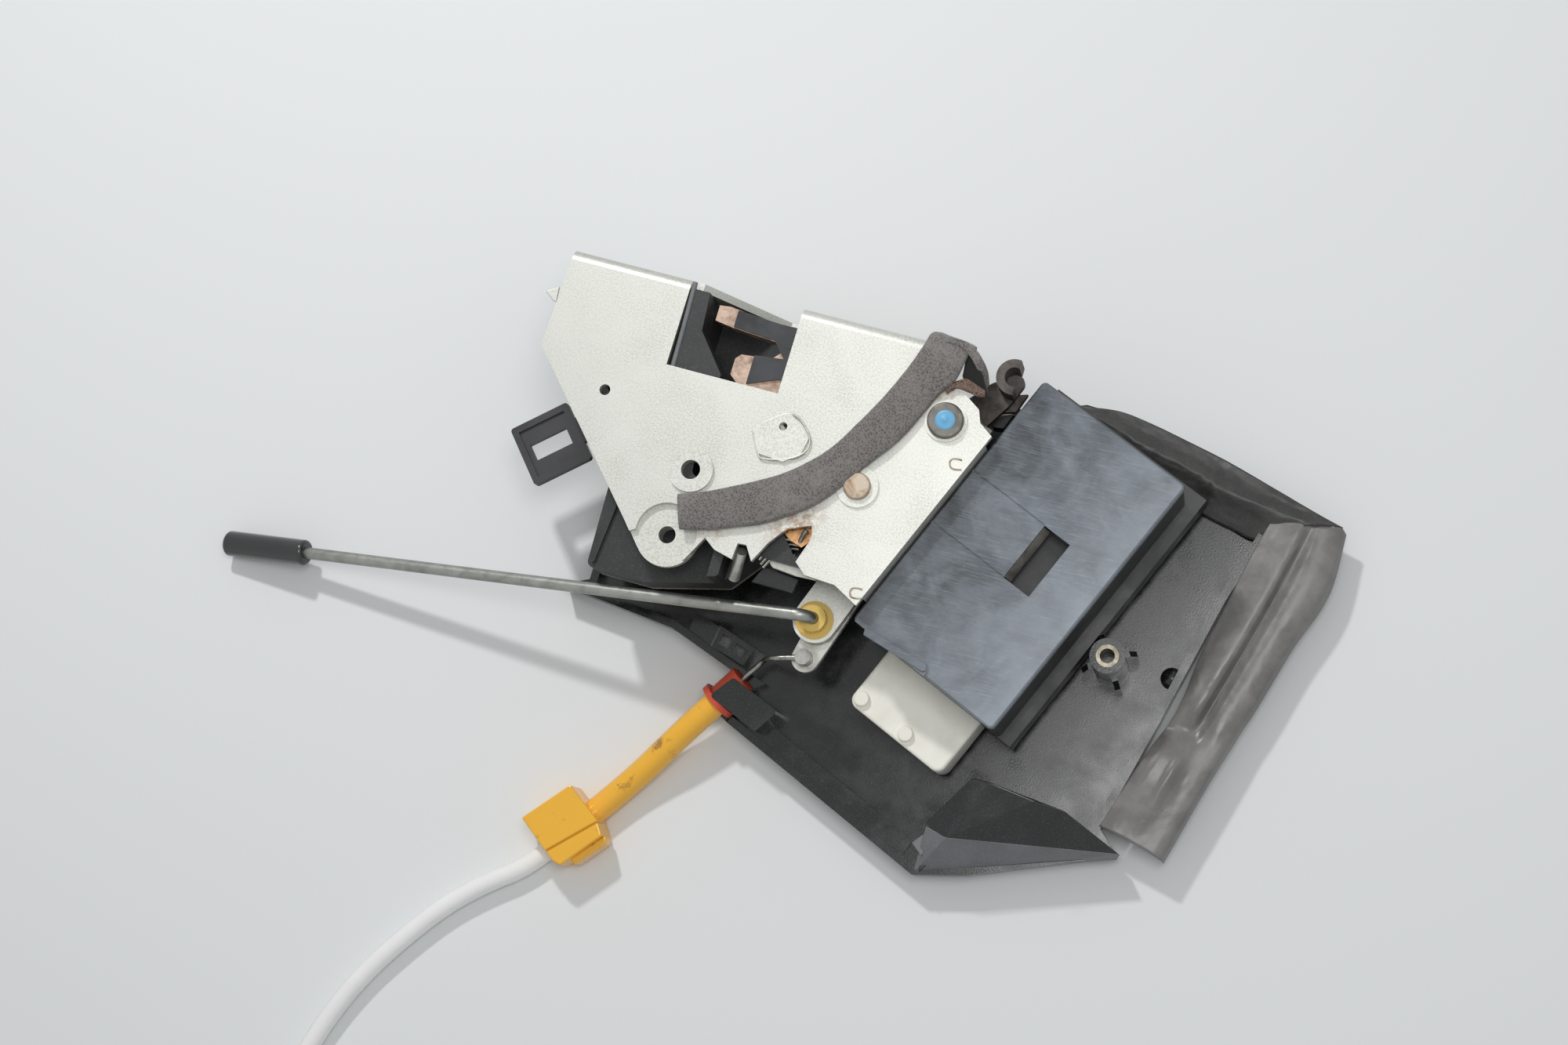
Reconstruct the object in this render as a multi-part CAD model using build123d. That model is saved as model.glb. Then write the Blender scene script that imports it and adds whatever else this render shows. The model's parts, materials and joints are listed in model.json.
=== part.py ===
from build123d import *
import math
import os

os.makedirs("parts", exist_ok=True)

# Everything is modelled in millimetres in the latch head's own axes: X along the folded edge of the
# face plate, Y towards the mouth of the striker slot, Z up from the surface that the unit lies on.
# The actuator module is turned about the same origin. Every piece is then moved so that the origin
# is at the middle of the unit's footprint.

# Face plate
PLATE_TOP = 52.0
PLATE_THICKNESS = 2.2
FOLD_Y = 41.0
FOLD_RADIUS = 3.2
FOLD_DEPTH = 30.0
FOLD_END = 47.0
PLATE_LEFT = -66.0
SLOT_LEFT = -28.2
SLOT_RIGHT = 5.8
SLOT_BOTTOM = 14.8
MOUTH_DEPTH = 26.0
RIGHT_FLANGE_DEPTH = 15.0
RIGHT_RUN = (-17.5, 43.2)
PLATE_TO_BOX = 0.5
LOBE_ROUND = 3.0

# Fixing points in the face plate
EAR = (-13.5, -32.5)
EAR_RADIUS = 9.2
EAR_STEP = 1.8
M6_BORE = 5.0
COLLAR_DIAMETER = 9.0
COLLAR_LENGTH = 6.0
RING = (-11.8, -13.0)
RING_DIAMETER = 13.0
RING_RISE = 1.2
RING_BORE = 5.6
LOCATING = (-43.5, 3.0)
LOCATING_BORE = 3.2
EMBOSS_RISE = 1.2
EMBOSS_EDGE = [(1.8, 3.0), (8.4, 9.8), (11.7, 9.9), (18.6, 4.6), (17.6, -0.6), (13.2, -4.0), (5.2, -3.4)]
SPRING_HOLE = (10.4, 5.9)
SPRING_HOLE_BORE = 2.4

# Pivots
CLAW_PIVOT = (8.0, 3.5)
PAWL_PIVOT = (35.8, -5.2)
RELEASE_PIVOT = (54.6, 19.3)
PIN_DIAMETER = 7.0
RELEASE_PIN_DIAMETER = 5.0
LOCK_PIN_DIAMETER = 5.0
PIVOT_CLEARANCE = 0.05
RIVET_HEAD = 7.8
RIVET_PAD = 12.0
RIVET_PAD_RISE = 0.8
BLUE_RIVET = 10.4
HEAD_HEIGHT = 1.6

# Levels of the latch head
BACK_BOTTOM = 22.0
BACK_THICKNESS = 2.0
DECK_BOTTOM = 38.0
DECK_TOP = 40.0
CLAW_THICKNESS = 4.6
CLAW_BOTTOM = 42.6
JACKET_SKIN = 0.9

# Claw and pawl
CATCH_RADIUS = 17.3
CLAW_HUB = CATCH_RADIUS - 0.9
CATCH_STEP = 1.7
CATCH_GAP = 6.6
CLAW_TRAVEL = 20.0
PAWL_TRAVEL = 16.0
PAWL_HUB = 8.2
PAWL_WIDTH = 7.5
PAWL_TAIL = 19.0
PAWL_TAIL_ANGLE = 64.5
PAWL_STUD = 4.0

# Levers
LEVER_THICKNESS = 2.4
RELEASE_LEVER_BOTTOM = 34.6
LOCK_LEVER_BOTTOM = 30.4
INSIDE_LEVER_BOTTOM = 26.2
LOCK_PIVOT = (40.5, -18.5)
BUSHING = (31.4, -43.0)
BUSHING_DIAMETER = 11.0
BUSHING_HEIGHT = 5.2
LEVER_EYE = 6.5
BUSHING_LIP = 1.2

# Lock rod, lying down to the surface with its plastic sleeve
ROD_DIAMETER = 3.6
ROD_TOP = 42.4
SLEEVE_DIAMETER = 8.0
SLEEVE_LENGTH = 29.0
SLEEVE_TIP = (-158.5, -67.0)

# Seal and clips
FOAM_THICKNESS = 3.0
CLIP_SIZE = 19.0
CLIP_THICKNESS = 2.6
CLIP_BOTTOM = 26.4
CLIP_CENTRE = (-61.5, -13.3)

# Actuator module, in its own axes
MODULE_TURN = -22.5
BOX_LEFT = 56.4
BOX_FRONT = -21.0
BOX_BACK = 65.6
BOX_BOTTOM = 10.0
BOX_WALL = 2.2
BOX_FOOT = 4.0
BOX_FOOT_TOP = 21.0
COVER_BOTTOM = 42.0
COVER_TOP = 46.0
COVER_LIP = 3.0
COVER_WINDOW = (82.4, 91.4, 14.5, 33.0)
TRAY_FLOOR_BOTTOM = 3.0
TRAY_FLOOR_TOP = 5.5
TRAY_WALL = 2.4
TRAY_RIM_TOP = BOX_BOTTOM
TRAY_LEDGE_TOP = 9.0
BOSS_DIAMETER = 10.0
BOSS_TOP = 36.0
BOSS_BORE = 4.2
INSERT_DIAMETER = 6.4
CONNECTOR = (66.0, 100.0, -40.0, -21.0)
CONNECTOR_BOTTOM = 10.0
CONNECTOR_TOP = 24.0
STUD_DIAMETER = 4.6
MOTOR_DIAMETER = 24.0
MOTOR_LENGTH = 30.0
SHAFT_DIAMETER = 2.0
WORM_DIAMETER = 7.0
WHEEL_RADIUS = 14.0
WHEEL_THICKNESS = 5.0
WHEEL_TEETH = 36
GEAR_GAP = 0.35
WHEEL_ACROSS = 73.6
WORM_LINE = WHEEL_ACROSS + WHEEL_RADIUS + WORM_DIAMETER / 2 + GEAR_GAP
MOTOR_ROOM = 0.75
BOX_RIGHT = WORM_LINE + MOTOR_DIAMETER / 2 + MOTOR_ROOM + BOX_WALL
BOSS = (BOX_RIGHT + 11.2, 15.7)
DOME = (BOX_RIGHT + 26.6, 24.1)

# Release cable, from its ferrule in the tray to the coil beyond the view
FERRULE_DIAMETER = 8.6
CABLE_SLEEVE_DIAMETER = 7.8
CONDUIT_DIAMETER = 5.8
CABLE_CLIP = (22.0, 15.0, 13.0)
CORE_DIAMETER = 1.6


def box(x0, x1, y0, y1, z0, z1):
    """A block between six named faces."""
    corner = (Align.MIN, Align.MIN, Align.MIN)
    return Pos(x0, y0, z0) * Box(x1 - x0, y1 - y0, z1 - z0, align=corner)


def disc(place, diameter, low, high):
    """An upright cylinder between two heights."""
    return Pos(place[0], place[1], low) * Cylinder(
        diameter / 2, high - low, align=(Align.CENTER, Align.CENTER, Align.MIN))


def prism(points, low, high, corner=0.0):
    """An upright block with a straight-sided outline, its corners rounded alike."""
    face = make_face(Polyline(*points, close=True))
    if corner:
        face = fillet(face.vertices(), corner)
    return Pos(0, 0, low) * extrude(face, high - low, dir=(0, 0, 1))


def link(a, radius_a, b, radius_b, low, high):
    """Two round ends joined by their outer tangents."""
    length = math.dist(a, b)
    heading = math.atan2(b[1] - a[1], b[0] - a[0])
    lean = math.acos((radius_a - radius_b) / length)
    corners = []
    for centre, radius, side in ((a, radius_a, 1), (a, radius_a, -1), (b, radius_b, -1), (b, radius_b, 1)):
        turn = heading + side * lean
        corners.append((centre[0] + radius * math.cos(turn), centre[1] + radius * math.sin(turn)))
    ends = disc(a, 2 * radius_a, low, high) + disc(b, 2 * radius_b, low, high)
    return prism(corners, low, high) + ends


def polar(centre, radius, degrees):
    """A point at a radius and angle about a centre."""
    turn = math.radians(degrees)
    return (centre[0] + radius * math.cos(turn), centre[1] + radius * math.sin(turn))


def from_module(x, y):
    """A module point in the latch head's axes."""
    turn = math.radians(MODULE_TURN)
    return (x * math.cos(turn) - y * math.sin(turn), x * math.sin(turn) + y * math.cos(turn))


def in_module(shape):
    """A shape modelled in the module's axes, turned to its place beside the latch head."""
    return Rot(0, 0, MODULE_TURN) * shape


PLATE_LOW = PLATE_TOP - PLATE_THICKNESS
RIGHT_TIP = from_module(BOX_LEFT - PLATE_TO_BOX, RIGHT_RUN[0])
RIGHT_TOP = from_module(BOX_LEFT - PLATE_TO_BOX, RIGHT_RUN[1])
EAR_TOP = PLATE_TOP - EAR_STEP

# The plate's edge, round from the top left corner
PLATE_EDGE = [
    (PLATE_LEFT + 1, FOLD_Y), (PLATE_LEFT, 11.0), (-26.2, -32.0), (-21.0, -38.0), (-13.5, -41.7),
    (-6.2, -38.2), (-2.2, -30.6), (1.3, -33.1), (7.0, -34.4), (7.4, -29.6), (9.9, -29.4), (12.6, -33.5),
    (15.7, -27.3), (19.8, -21.8), (26.4, -19.2), (27.4, -22.5), (24.9, -30.3), (28.5, -33.2),
    (37.4, -33.6), RIGHT_TIP, RIGHT_TOP, (64.0, 21.4), (62.6, 25.0), (57.4, 28.4),
    (53.0, 29.0), (52.0, 36.0), (47.0, FOLD_Y)]


def right_flange():
    """The skirt bent down along the plate's sloping right edge."""
    run = math.dist(RIGHT_TIP, RIGHT_TOP)
    heading = math.degrees(math.atan2(RIGHT_TOP[1] - RIGHT_TIP[1], RIGHT_TOP[0] - RIGHT_TIP[0]))
    strip = box(LOBE_ROUND, run - LOBE_ROUND, 0, PLATE_THICKNESS, PLATE_TOP - RIGHT_FLANGE_DEPTH, PLATE_TOP)
    return Pos(RIGHT_TIP[0], RIGHT_TIP[1], 0) * Rot(0, 0, heading) * strip


def folded_edge():
    """The rolled bend along the plate's top edge and the skirt that goes down from it."""
    inner = FOLD_RADIUS - PLATE_THICKNESS
    start = FOLD_Y - FOLD_RADIUS
    foot = PLATE_TOP - FOLD_DEPTH
    shoulder = PLATE_TOP - FOLD_RADIUS
    lean = math.sqrt(0.5)
    outer_mid = (start + FOLD_RADIUS * lean, shoulder + FOLD_RADIUS * lean)
    inner_mid = (start + inner * lean, shoulder + inner * lean)
    outline = [
        ThreePointArc((start, PLATE_TOP), outer_mid, (FOLD_Y, shoulder)),
        Line((FOLD_Y, shoulder), (FOLD_Y, foot)),
        Line((FOLD_Y, foot), (FOLD_Y - PLATE_THICKNESS, foot)),
        Line((FOLD_Y - PLATE_THICKNESS, foot), (FOLD_Y - PLATE_THICKNESS, shoulder)),
        ThreePointArc((FOLD_Y - PLATE_THICKNESS, shoulder), inner_mid, (start, PLATE_LOW)),
        Line((start, PLATE_LOW), (start, PLATE_TOP))]
    section = Plane((PLATE_LEFT + 1, 0, 0), x_dir=(0, 1, 0), z_dir=(1, 0, 0)) * make_face(outline)
    return extrude(section, FOLD_END - PLATE_LEFT - 1, dir=(1, 0, 0))


def latch_plate():
    """Pressed steel face plate: folded edge, striker slot, embossed pads and the threaded ear."""
    plate = prism(PLATE_EDGE, PLATE_LOW, PLATE_TOP)
    plate -= box(PLATE_LEFT - 1, 60.0, FOLD_Y - FOLD_RADIUS, FOLD_Y + 1, PLATE_LOW - 1, PLATE_TOP + 1)
    plate = plate + folded_edge() + right_flange()
    plate -= box(SLOT_LEFT, SLOT_RIGHT, SLOT_BOTTOM, FOLD_Y + 1, PLATE_LOW - 1, PLATE_TOP + 1)
    mouth = make_face(Polyline((SLOT_LEFT, PLATE_TOP), (SLOT_RIGHT - 8.0, PLATE_TOP - MOUTH_DEPTH),
                               (SLOT_RIGHT, PLATE_TOP - MOUTH_DEPTH), (SLOT_RIGHT, PLATE_TOP), close=True))
    plate -= Pos(0, FOLD_Y - 6, 0) * extrude(Rot(90, 0, 0) * mouth, 8.0, dir=(0, 1, 0))
    pocket = disc(EAR, 2 * EAR_RADIUS - 0.4, EAR_TOP, PLATE_TOP + 1)
    pocket += Pos(-5.0, -9.0, 0) * pocket
    plate -= pocket
    plate += disc(EAR, 2 * EAR_RADIUS, PLATE_LOW - EAR_STEP, EAR_TOP)
    plate += disc(EAR, COLLAR_DIAMETER, EAR_TOP - COLLAR_LENGTH, EAR_TOP)
    plate += disc(RING, RING_DIAMETER, PLATE_LOW, PLATE_TOP + RING_RISE)
    for pivot in (PAWL_PIVOT, RELEASE_PIVOT):
        plate += disc(pivot, RIVET_PAD, PLATE_LOW, PLATE_TOP + RIVET_PAD_RISE)
    plate += prism(EMBOSS_EDGE, PLATE_LOW, PLATE_TOP + EMBOSS_RISE, 1.2)
    for place, bore in ((EAR, M6_BORE), (RING, RING_BORE), (LOCATING, LOCATING_BORE),
                        (SPRING_HOLE, SPRING_HOLE_BORE), (PAWL_PIVOT, PIN_DIAMETER),
                        (RELEASE_PIVOT, RELEASE_PIN_DIAMETER)):
        plate -= disc(place, bore, PLATE_LOW - COLLAR_LENGTH - 3, PLATE_TOP + 5)
    return plate


# The back plate and housing share one outline, inside the face plate's
HOUSING_BACK = FOLD_Y - FOLD_RADIUS - 0.1
HOUSING_EDGE = [
    (-50.0, HOUSING_BACK), (-50.0, 2.0), (-39.0, -14.0), (-38.0, -46.0), (-20.0, -46.0), (3.0, -40.0),
    (10.0, -31.0), (24.0, -31.0), (45.0, -31.0), (61.0, 8.0), (58.0, 25.0), (46.0, HOUSING_BACK)]
CAVITY_EDGE = [
    (-28.6, FOLD_Y), (-28.6, 11.4), (-14.0, 11.4), (-12.0, -14.0), (12.0, -15.5), (23.0, -28.4),
    (40.0, -28.4), (52.0, -4.0), (54.0, 12.0), (48.0, 17.0), (43.0, 36.0), (24.0, FOLD_Y)]
LEVER_EDGE = [
    (20.0, -46.0), (26.5, -18.0), (24.0, -8.0), (32.0, 6.0), (39.0, 31.0), (62.0, 33.0),
    (70.0, 20.0), (62.0, -46.0)]
POST_HOLES = [(-34.0, -4.0), (-30.0, -40.0), (15.0, -27.0), (54.0, 27.5)]
POST_DIAMETER = 7.0
SHELF_TOP = 35.0
SLOT_FLOOR = 2.2
SCREW_DIAMETER = 3.6
SCREW_BORE = 3.8


def latch_back_plate():
    """Steel plate under the housing that carries the lower ends of the pivots."""
    plate = prism(HOUSING_EDGE, BACK_BOTTOM, BACK_BOTTOM + BACK_THICKNESS, 2.0)
    for place, bore in ((CLAW_PIVOT, PIN_DIAMETER), (PAWL_PIVOT, PIN_DIAMETER), (LOCK_PIVOT, LOCK_PIN_DIAMETER),
                        (RELEASE_PIVOT, RELEASE_PIN_DIAMETER)):
        plate -= disc(place, bore, BACK_BOTTOM - 1, PLATE_LOW)
    for place in POST_HOLES:
        plate -= disc(place, SCREW_BORE, BACK_BOTTOM - 1, PLATE_LOW)
    return plate


def latch_housing():
    """Moulded housing: claw and pawl cavity above a deck, lever bay open to the front below it."""
    low = BACK_BOTTOM + BACK_THICKNESS
    shell = prism(HOUSING_EDGE, low, PLATE_LOW - EAR_STEP, 2.0)
    shell += prism([(-50.0, HOUSING_BACK), (-50.0, 5.0), (-26.0, -22.0), (48.8, -22.0), (61.0, 8.0),
                    (58.0, 25.0), (46.0, HOUSING_BACK)], PLATE_LOW - EAR_STEP, PLATE_LOW, 2.0)
    shell -= prism([(-60.0, -70.0), (-60.0, -8.0), (-42.0, -11.0), (-27.0, -24.0), (0.5, -27.0), (0.5, -70.0)],
                   SHELF_TOP, PLATE_LOW + 1)
    shell += link((-34.0, -16.5), 0.6, (-36.4, -44.0), 0.6, SHELF_TOP - 1, SHELF_TOP + 1.2)
    shell -= prism(CAVITY_EDGE, DECK_TOP, PLATE_LOW + 1, 2.0)
    shell -= box(SLOT_LEFT + 6, SLOT_RIGHT - 1, SLOT_BOTTOM + 1, FOLD_Y, low + SLOT_FLOOR, PLATE_LOW + 1)
    shell -= prism(LEVER_EDGE, low - 1, DECK_BOTTOM)
    shell -= box(3.6, 11.0, -48.0, -29.4, 37.5, PLATE_LOW + 1)
    shell -= prism([(-45.0, 34.0), (-45.0, 6.0), (-33.0, -9.0), (-31.0, 10.0), (-31.0, 34.0)],
                   low + 4.0, PLATE_LOW + 1, 2.0)
    shell -= link(pawl_stud(0), PAWL_STUD / 2 + 1.2, pawl_stud(PAWL_TRAVEL), PAWL_STUD / 2 + 1.2,
                  DECK_BOTTOM - 1, DECK_TOP + 1)
    for place, bore in ((CLAW_PIVOT, PIN_DIAMETER), (PAWL_PIVOT, PIN_DIAMETER), (LOCK_PIVOT, LOCK_PIN_DIAMETER),
                        (RELEASE_PIVOT, RELEASE_PIN_DIAMETER)):
        shell -= disc(place, bore, low - 1, PLATE_LOW + 1)
    for place in POST_HOLES:
        shell -= disc(place, SCREW_BORE, low - 1, low + 10)
    return shell


def pawl_stud(lift):
    """Where the stud on the pawl's tail is, with the pawl lifted by an angle."""
    return polar(PAWL_PIVOT, PAWL_TAIL, PAWL_TAIL_ANGLE - lift)


def slot_liner():
    """Plastic liner down the left of the striker slot, with a bevelled lip and a guide ramp."""
    outline = [(SLOT_LEFT, FOLD_Y - PLATE_THICKNESS - 0.4), (SLOT_LEFT, SLOT_BOTTOM + 0.2), (-12.0, SLOT_BOTTOM + 0.2),
               (-12.0, SLOT_BOTTOM + 1.2), (-21.2, 27.0), (-22.2, FOLD_Y - PLATE_THICKNESS - 0.4)]
    liner = prism(outline, DECK_TOP, PLATE_TOP - 0.6)
    lip = liner.edges().filter_by(Axis.Y).group_by(Axis.Z)[-1].sort_by(Axis.X)[0]
    return chamfer(lip, 1.2)


def claw_outline():
    """The claw's edge: a round hub, the catch, the closing arm, the throat and the lower arm."""
    catch = 36.9 + CATCH_GAP
    lift = math.dist(CLAW_PIVOT, PAWL_PIVOT)
    strut = math.sqrt(lift * lift - CATCH_RADIUS * CATCH_RADIUS)
    edge = [polar(CLAW_PIVOT, CLAW_HUB, turn) for turn in range(-90, 37, 14)]
    edge.append(polar(CLAW_PIVOT, CLAW_HUB, catch))
    for turn in (CATCH_GAP, 11.0, 16.0, 20.0):
        rise = strut * math.sin(math.radians(PAWL_TRAVEL * turn / CLAW_TRAVEL)) - 0.5
        edge.append(polar(CLAW_PIVOT, CATCH_RADIUS + rise, 36.9 + turn))
    edge += [(15.0, 33.6), (10.5, 35.8), (-5.0, 35.4), (-16.0, 36.8), (-19.4, 36.4), (-19.4, 31.8), (-14.0, 31.0),
             (0.0, 30.0), (2.4, 27.6), (0.0, 25.0), (-9.0, 24.0), (-10.4, 22.4), (-10.4, 17.6), (-6.0, 14.0)]
    edge += [polar(CLAW_PIVOT, CLAW_HUB, turn) for turn in (180, 202, 224, 246)]
    return edge


def claw():
    """Steel claw that closes round the striker."""
    blank = prism(claw_outline(), CLAW_BOTTOM, CLAW_BOTTOM + CLAW_THICKNESS)
    return blank - disc(CLAW_PIVOT, PIN_DIAMETER + 2 * PIVOT_CLEARANCE, CLAW_BOTTOM - 1, PLATE_LOW)


def claw_jacket():
    """Plastic overmould on the closing arm and the lower arm, on both faces of the claw."""
    top = CLAW_BOTTOM + CLAW_THICKNESS
    upper = [(-13.4, 31.2), (-0.6, 30.3), (-0.6, 35.3), (-13.4, 36.2)]
    lower = [(-5.0, 16.0), (3.6, 19.5), (3.6, 25.6), (-5.0, 24.6)]
    skin = prism(upper, top, top + JACKET_SKIN) + prism(lower, top, top + JACKET_SKIN)
    root = [(3.6, 19.5), (13.0, 20.5), (14.4, 32.6), (10.0, 35.4), (-0.6, 35.3), (-0.6, 30.3), (3.6, 25.6)]
    return skin + prism(root, top, top + JACKET_SKIN)


def pawl_nose():
    """Where the pawl meets the claw: the tangent point that puts it in line with its own pivot."""
    reach = math.dist(CLAW_PIVOT, PAWL_PIVOT)
    heading = math.degrees(math.atan2(PAWL_PIVOT[1] - CLAW_PIVOT[1], PAWL_PIVOT[0] - CLAW_PIVOT[0]))
    return polar(CLAW_PIVOT, CATCH_RADIUS, heading + math.degrees(math.acos(CATCH_RADIUS / reach)))


def pawl():
    """Steel pawl: a strut from its pivot to the claw's catch, and a tail with a stud for the levers."""
    nose = pawl_nose()
    heading = math.atan2(nose[1] - PAWL_PIVOT[1], nose[0] - PAWL_PIVOT[0])
    side = (-math.sin(heading - math.pi), math.cos(heading - math.pi))
    width = PAWL_WIDTH
    strut = [nose, PAWL_PIVOT, (PAWL_PIVOT[0] + side[0] * width, PAWL_PIVOT[1] + side[1] * width),
             (nose[0] + side[0] * width, nose[1] + side[1] * width)]
    tail = pawl_stud(0)
    top = CLAW_BOTTOM + CLAW_THICKNESS
    body = prism(strut, CLAW_BOTTOM, top) + disc(PAWL_PIVOT, 2 * PAWL_HUB, CLAW_BOTTOM, top)
    body += link(PAWL_PIVOT, 6.0, tail, 3.6, CLAW_BOTTOM, top)
    body += disc(tail, PAWL_STUD, INSIDE_LEVER_BOTTOM - 1, CLAW_BOTTOM + 1)
    return body - disc(PAWL_PIVOT, PIN_DIAMETER + 2 * PIVOT_CLEARANCE, CLAW_BOTTOM - 1, PLATE_LOW)


def pawl_jacket():
    """Plastic pad on the pawl that quietens it against the plate."""
    nose = pawl_nose()
    middle = ((nose[0] + PAWL_PIVOT[0]) / 2 + 3.2, (nose[1] + PAWL_PIVOT[1]) / 2 + 1.8)
    top = CLAW_BOTTOM + CLAW_THICKNESS
    return disc(middle, 6.0, top, top + JACKET_SKIN)


def headed_pin(place, diameter, head, low, high):
    """A pin riveted over above the face plate and under the back plate."""
    pin = disc(place, diameter, low, high)
    cap = disc(place, head, high, high + HEAD_HEIGHT)
    cap = fillet(cap.edges().sort_by(Axis.Z)[-1], 0.7)
    return pin + cap


def claw_pivot_pin():
    """Shouldered pin under the emboss, riveted into the back plate."""
    return disc(CLAW_PIVOT, PIN_DIAMETER, BACK_BOTTOM, PLATE_LOW)


def pawl_pivot_pin():
    """Pin of the pawl, its rusty head proud of the face plate."""
    return headed_pin(PAWL_PIVOT, PIN_DIAMETER, RIVET_HEAD, BACK_BOTTOM, PLATE_TOP + RIVET_PAD_RISE)


def release_pivot_rivet():
    """Pin of the outside release lever, its broad head marked on the face plate."""
    return headed_pin(RELEASE_PIVOT, RELEASE_PIN_DIAMETER, BLUE_RIVET, BACK_BOTTOM, PLATE_TOP + RIVET_PAD_RISE)


def lock_pivot_pin():
    """Pin of the lock and inside levers, between the deck and the back plate."""
    return disc(LOCK_PIVOT, LOCK_PIN_DIAMETER, BACK_BOTTOM, DECK_TOP)


def coil(centre, radius, wire, low, turns, legs):
    """A torsion spring as closed rings of wire with two straight legs."""
    body = None
    for turn in range(turns):
        ring = Pos(centre[0], centre[1], low + wire / 2 + turn * wire * 0.98) * Torus(radius, wire / 2)
        body = ring if body is None else body + ring
    for level, start, end in legs:
        height = low + wire / 2 + level * wire * 0.98
        path = Line((start[0], start[1], height), (end[0], end[1], height))
        body += sweep(Plane(path @ 0, z_dir=path % 0) * Circle(wire / 2), path=path)
    return body


def bored(shape, place, bore, low, high):
    """A lever with the running hole for its pin."""
    return shape - disc(place, bore + 2 * PIVOT_CLEARANCE, low - 1, high + 1)


RELEASE_NOSE = (41.0, 16.3)
RELEASE_CURL = (68.6, 38.0)
CURL_DIAMETER = 10.4
CURL_HEIGHT = 8.0
INSIDE_KNEE = (44.5, -4.0)
INSIDE_NOSE = (38.8, 12.5)
INSIDE_HOOK = (31.0, -54.0)


def outside_release_lever():
    """Bell crank on the marked rivet: a nose beside the pawl's stud and an arm with a curled end."""
    low = RELEASE_LEVER_BOTTOM
    high = low + LEVER_THICKNESS
    lever = link(RELEASE_PIVOT, 5.0, RELEASE_NOSE, 1.8, low, high)
    lever += link(RELEASE_PIVOT, 5.5, (64.6, 33.0), 4.2, low, high)
    lever += link((64.6, 33.0), 4.2, RELEASE_CURL, 2.4, low, high)
    curl = disc(RELEASE_CURL, CURL_DIAMETER, low, high + CURL_HEIGHT)
    curl -= disc(RELEASE_CURL, CURL_DIAMETER - 2 * LEVER_THICKNESS, low - 1, high + CURL_HEIGHT + 1)
    x, y = RELEASE_CURL
    curl -= box(x + 0.8, x + CURL_DIAMETER, y - CURL_DIAMETER, y + CURL_DIAMETER, low - 1, high + CURL_HEIGHT + 1)
    lever += curl
    return bored(lever, RELEASE_PIVOT, RELEASE_PIN_DIAMETER, low, high)


def inside_release_lever():
    """Cranked lever on the lock pivot: a nose beside the pawl's stud and an arm for the cable."""
    low = INSIDE_LEVER_BOTTOM
    high = low + LEVER_THICKNESS
    lever = link(LOCK_PIVOT, 6.0, INSIDE_KNEE, 3.0, low, high)
    lever += link(INSIDE_KNEE, 3.0, INSIDE_NOSE, 2.2, low, high)
    lever += link(LOCK_PIVOT, 6.0, INSIDE_HOOK, 4.0, low, high)
    return bored(lever, LOCK_PIVOT, LOCK_PIN_DIAMETER, low, high)


def lock_lever():
    """Zinc-plated lever: the rod's eye at one end, a fork for the wheel's stud at the other."""
    low = LOCK_LEVER_BOTTOM
    high = low + LEVER_THICKNESS
    lever = link(LOCK_PIVOT, 6.5, BUSHING, LEVER_EYE, low, high)
    lever += link(LOCK_PIVOT, 6.5, FORK_END, FORK_WIDTH / 2, low, high)
    slot = link(WHEEL_STUD, FORK_SLOT / 2, polar(WHEEL_STUD, 10.0, MODULE_TURN), FORK_SLOT / 2, low - 1, high + 1)
    lever -= slot
    lever -= disc(BUSHING, BUSHING_NECK, low - 1, high + 1)
    return bored(lever, LOCK_PIVOT, LOCK_PIN_DIAMETER, low, high)


def rod_bushing():
    """Snap-in plastic bush of the lock rod: a neck through the lever's eye and a stepped collar."""
    high = LOCK_LEVER_BOTTOM + LEVER_THICKNESS
    neck = disc(BUSHING, BUSHING_NECK, LOCK_LEVER_BOTTOM - 1.0, high)
    foot = disc(BUSHING, BUSHING_NECK + 1.2, LOCK_LEVER_BOTTOM - 1.0, LOCK_LEVER_BOTTOM)
    collar = disc(BUSHING, BUSHING_DIAMETER, high, high + BUSHING_LIP)
    collar += disc(BUSHING, BUSHING_DIAMETER - 3.2, high + BUSHING_LIP, high + BUSHING_HEIGHT)
    bush = neck + foot + collar
    return bush - disc(BUSHING, ROD_DIAMETER + 2 * PIVOT_CLEARANCE, LOCK_LEVER_BOTTOM - 2, high + 8)


def rod_path():
    """The rod's centre line: down through the bush, over, and away to the surface."""
    tip_height = SLEEVE_DIAMETER / 2 + 0.2
    elbow = (BUSHING[0], BUSHING[1], ROD_TOP)
    foot = (BUSHING[0], BUSHING[1], LOCK_LEVER_BOTTOM - 1.6)
    return FilletPolyline(foot, elbow, (SLEEVE_TIP[0], SLEEVE_TIP[1], tip_height), radius=4.0)


def lock_rod():
    """Steel rod of the inside lock, its end bent down into the bush."""
    path = rod_path()
    return sweep(Plane(path @ 0, z_dir=path % 0) * Circle(ROD_DIAMETER / 2), path=path)


def rod_sleeve():
    """Glossy plastic sleeve pushed over the far end of the rod."""
    start = Vector(BUSHING[0], BUSHING[1], ROD_TOP)
    tip = Vector(SLEEVE_TIP[0], SLEEVE_TIP[1], SLEEVE_DIAMETER / 2 + 0.2)
    away = (tip - start).normalized()
    plane = Plane(tip - away * (SLEEVE_LENGTH - 2.0), z_dir=away)
    body = plane * Cylinder(SLEEVE_DIAMETER / 2, SLEEVE_LENGTH, align=(Align.CENTER, Align.CENTER, Align.MIN))
    body = fillet(body.edges().filter_by(GeomType.CIRCLE), 1.2)
    bore = plane * Cylinder(ROD_DIAMETER / 2, SLEEVE_LENGTH - 2.0, align=(Align.CENTER, Align.CENTER, Align.MIN))
    return body - bore


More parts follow.
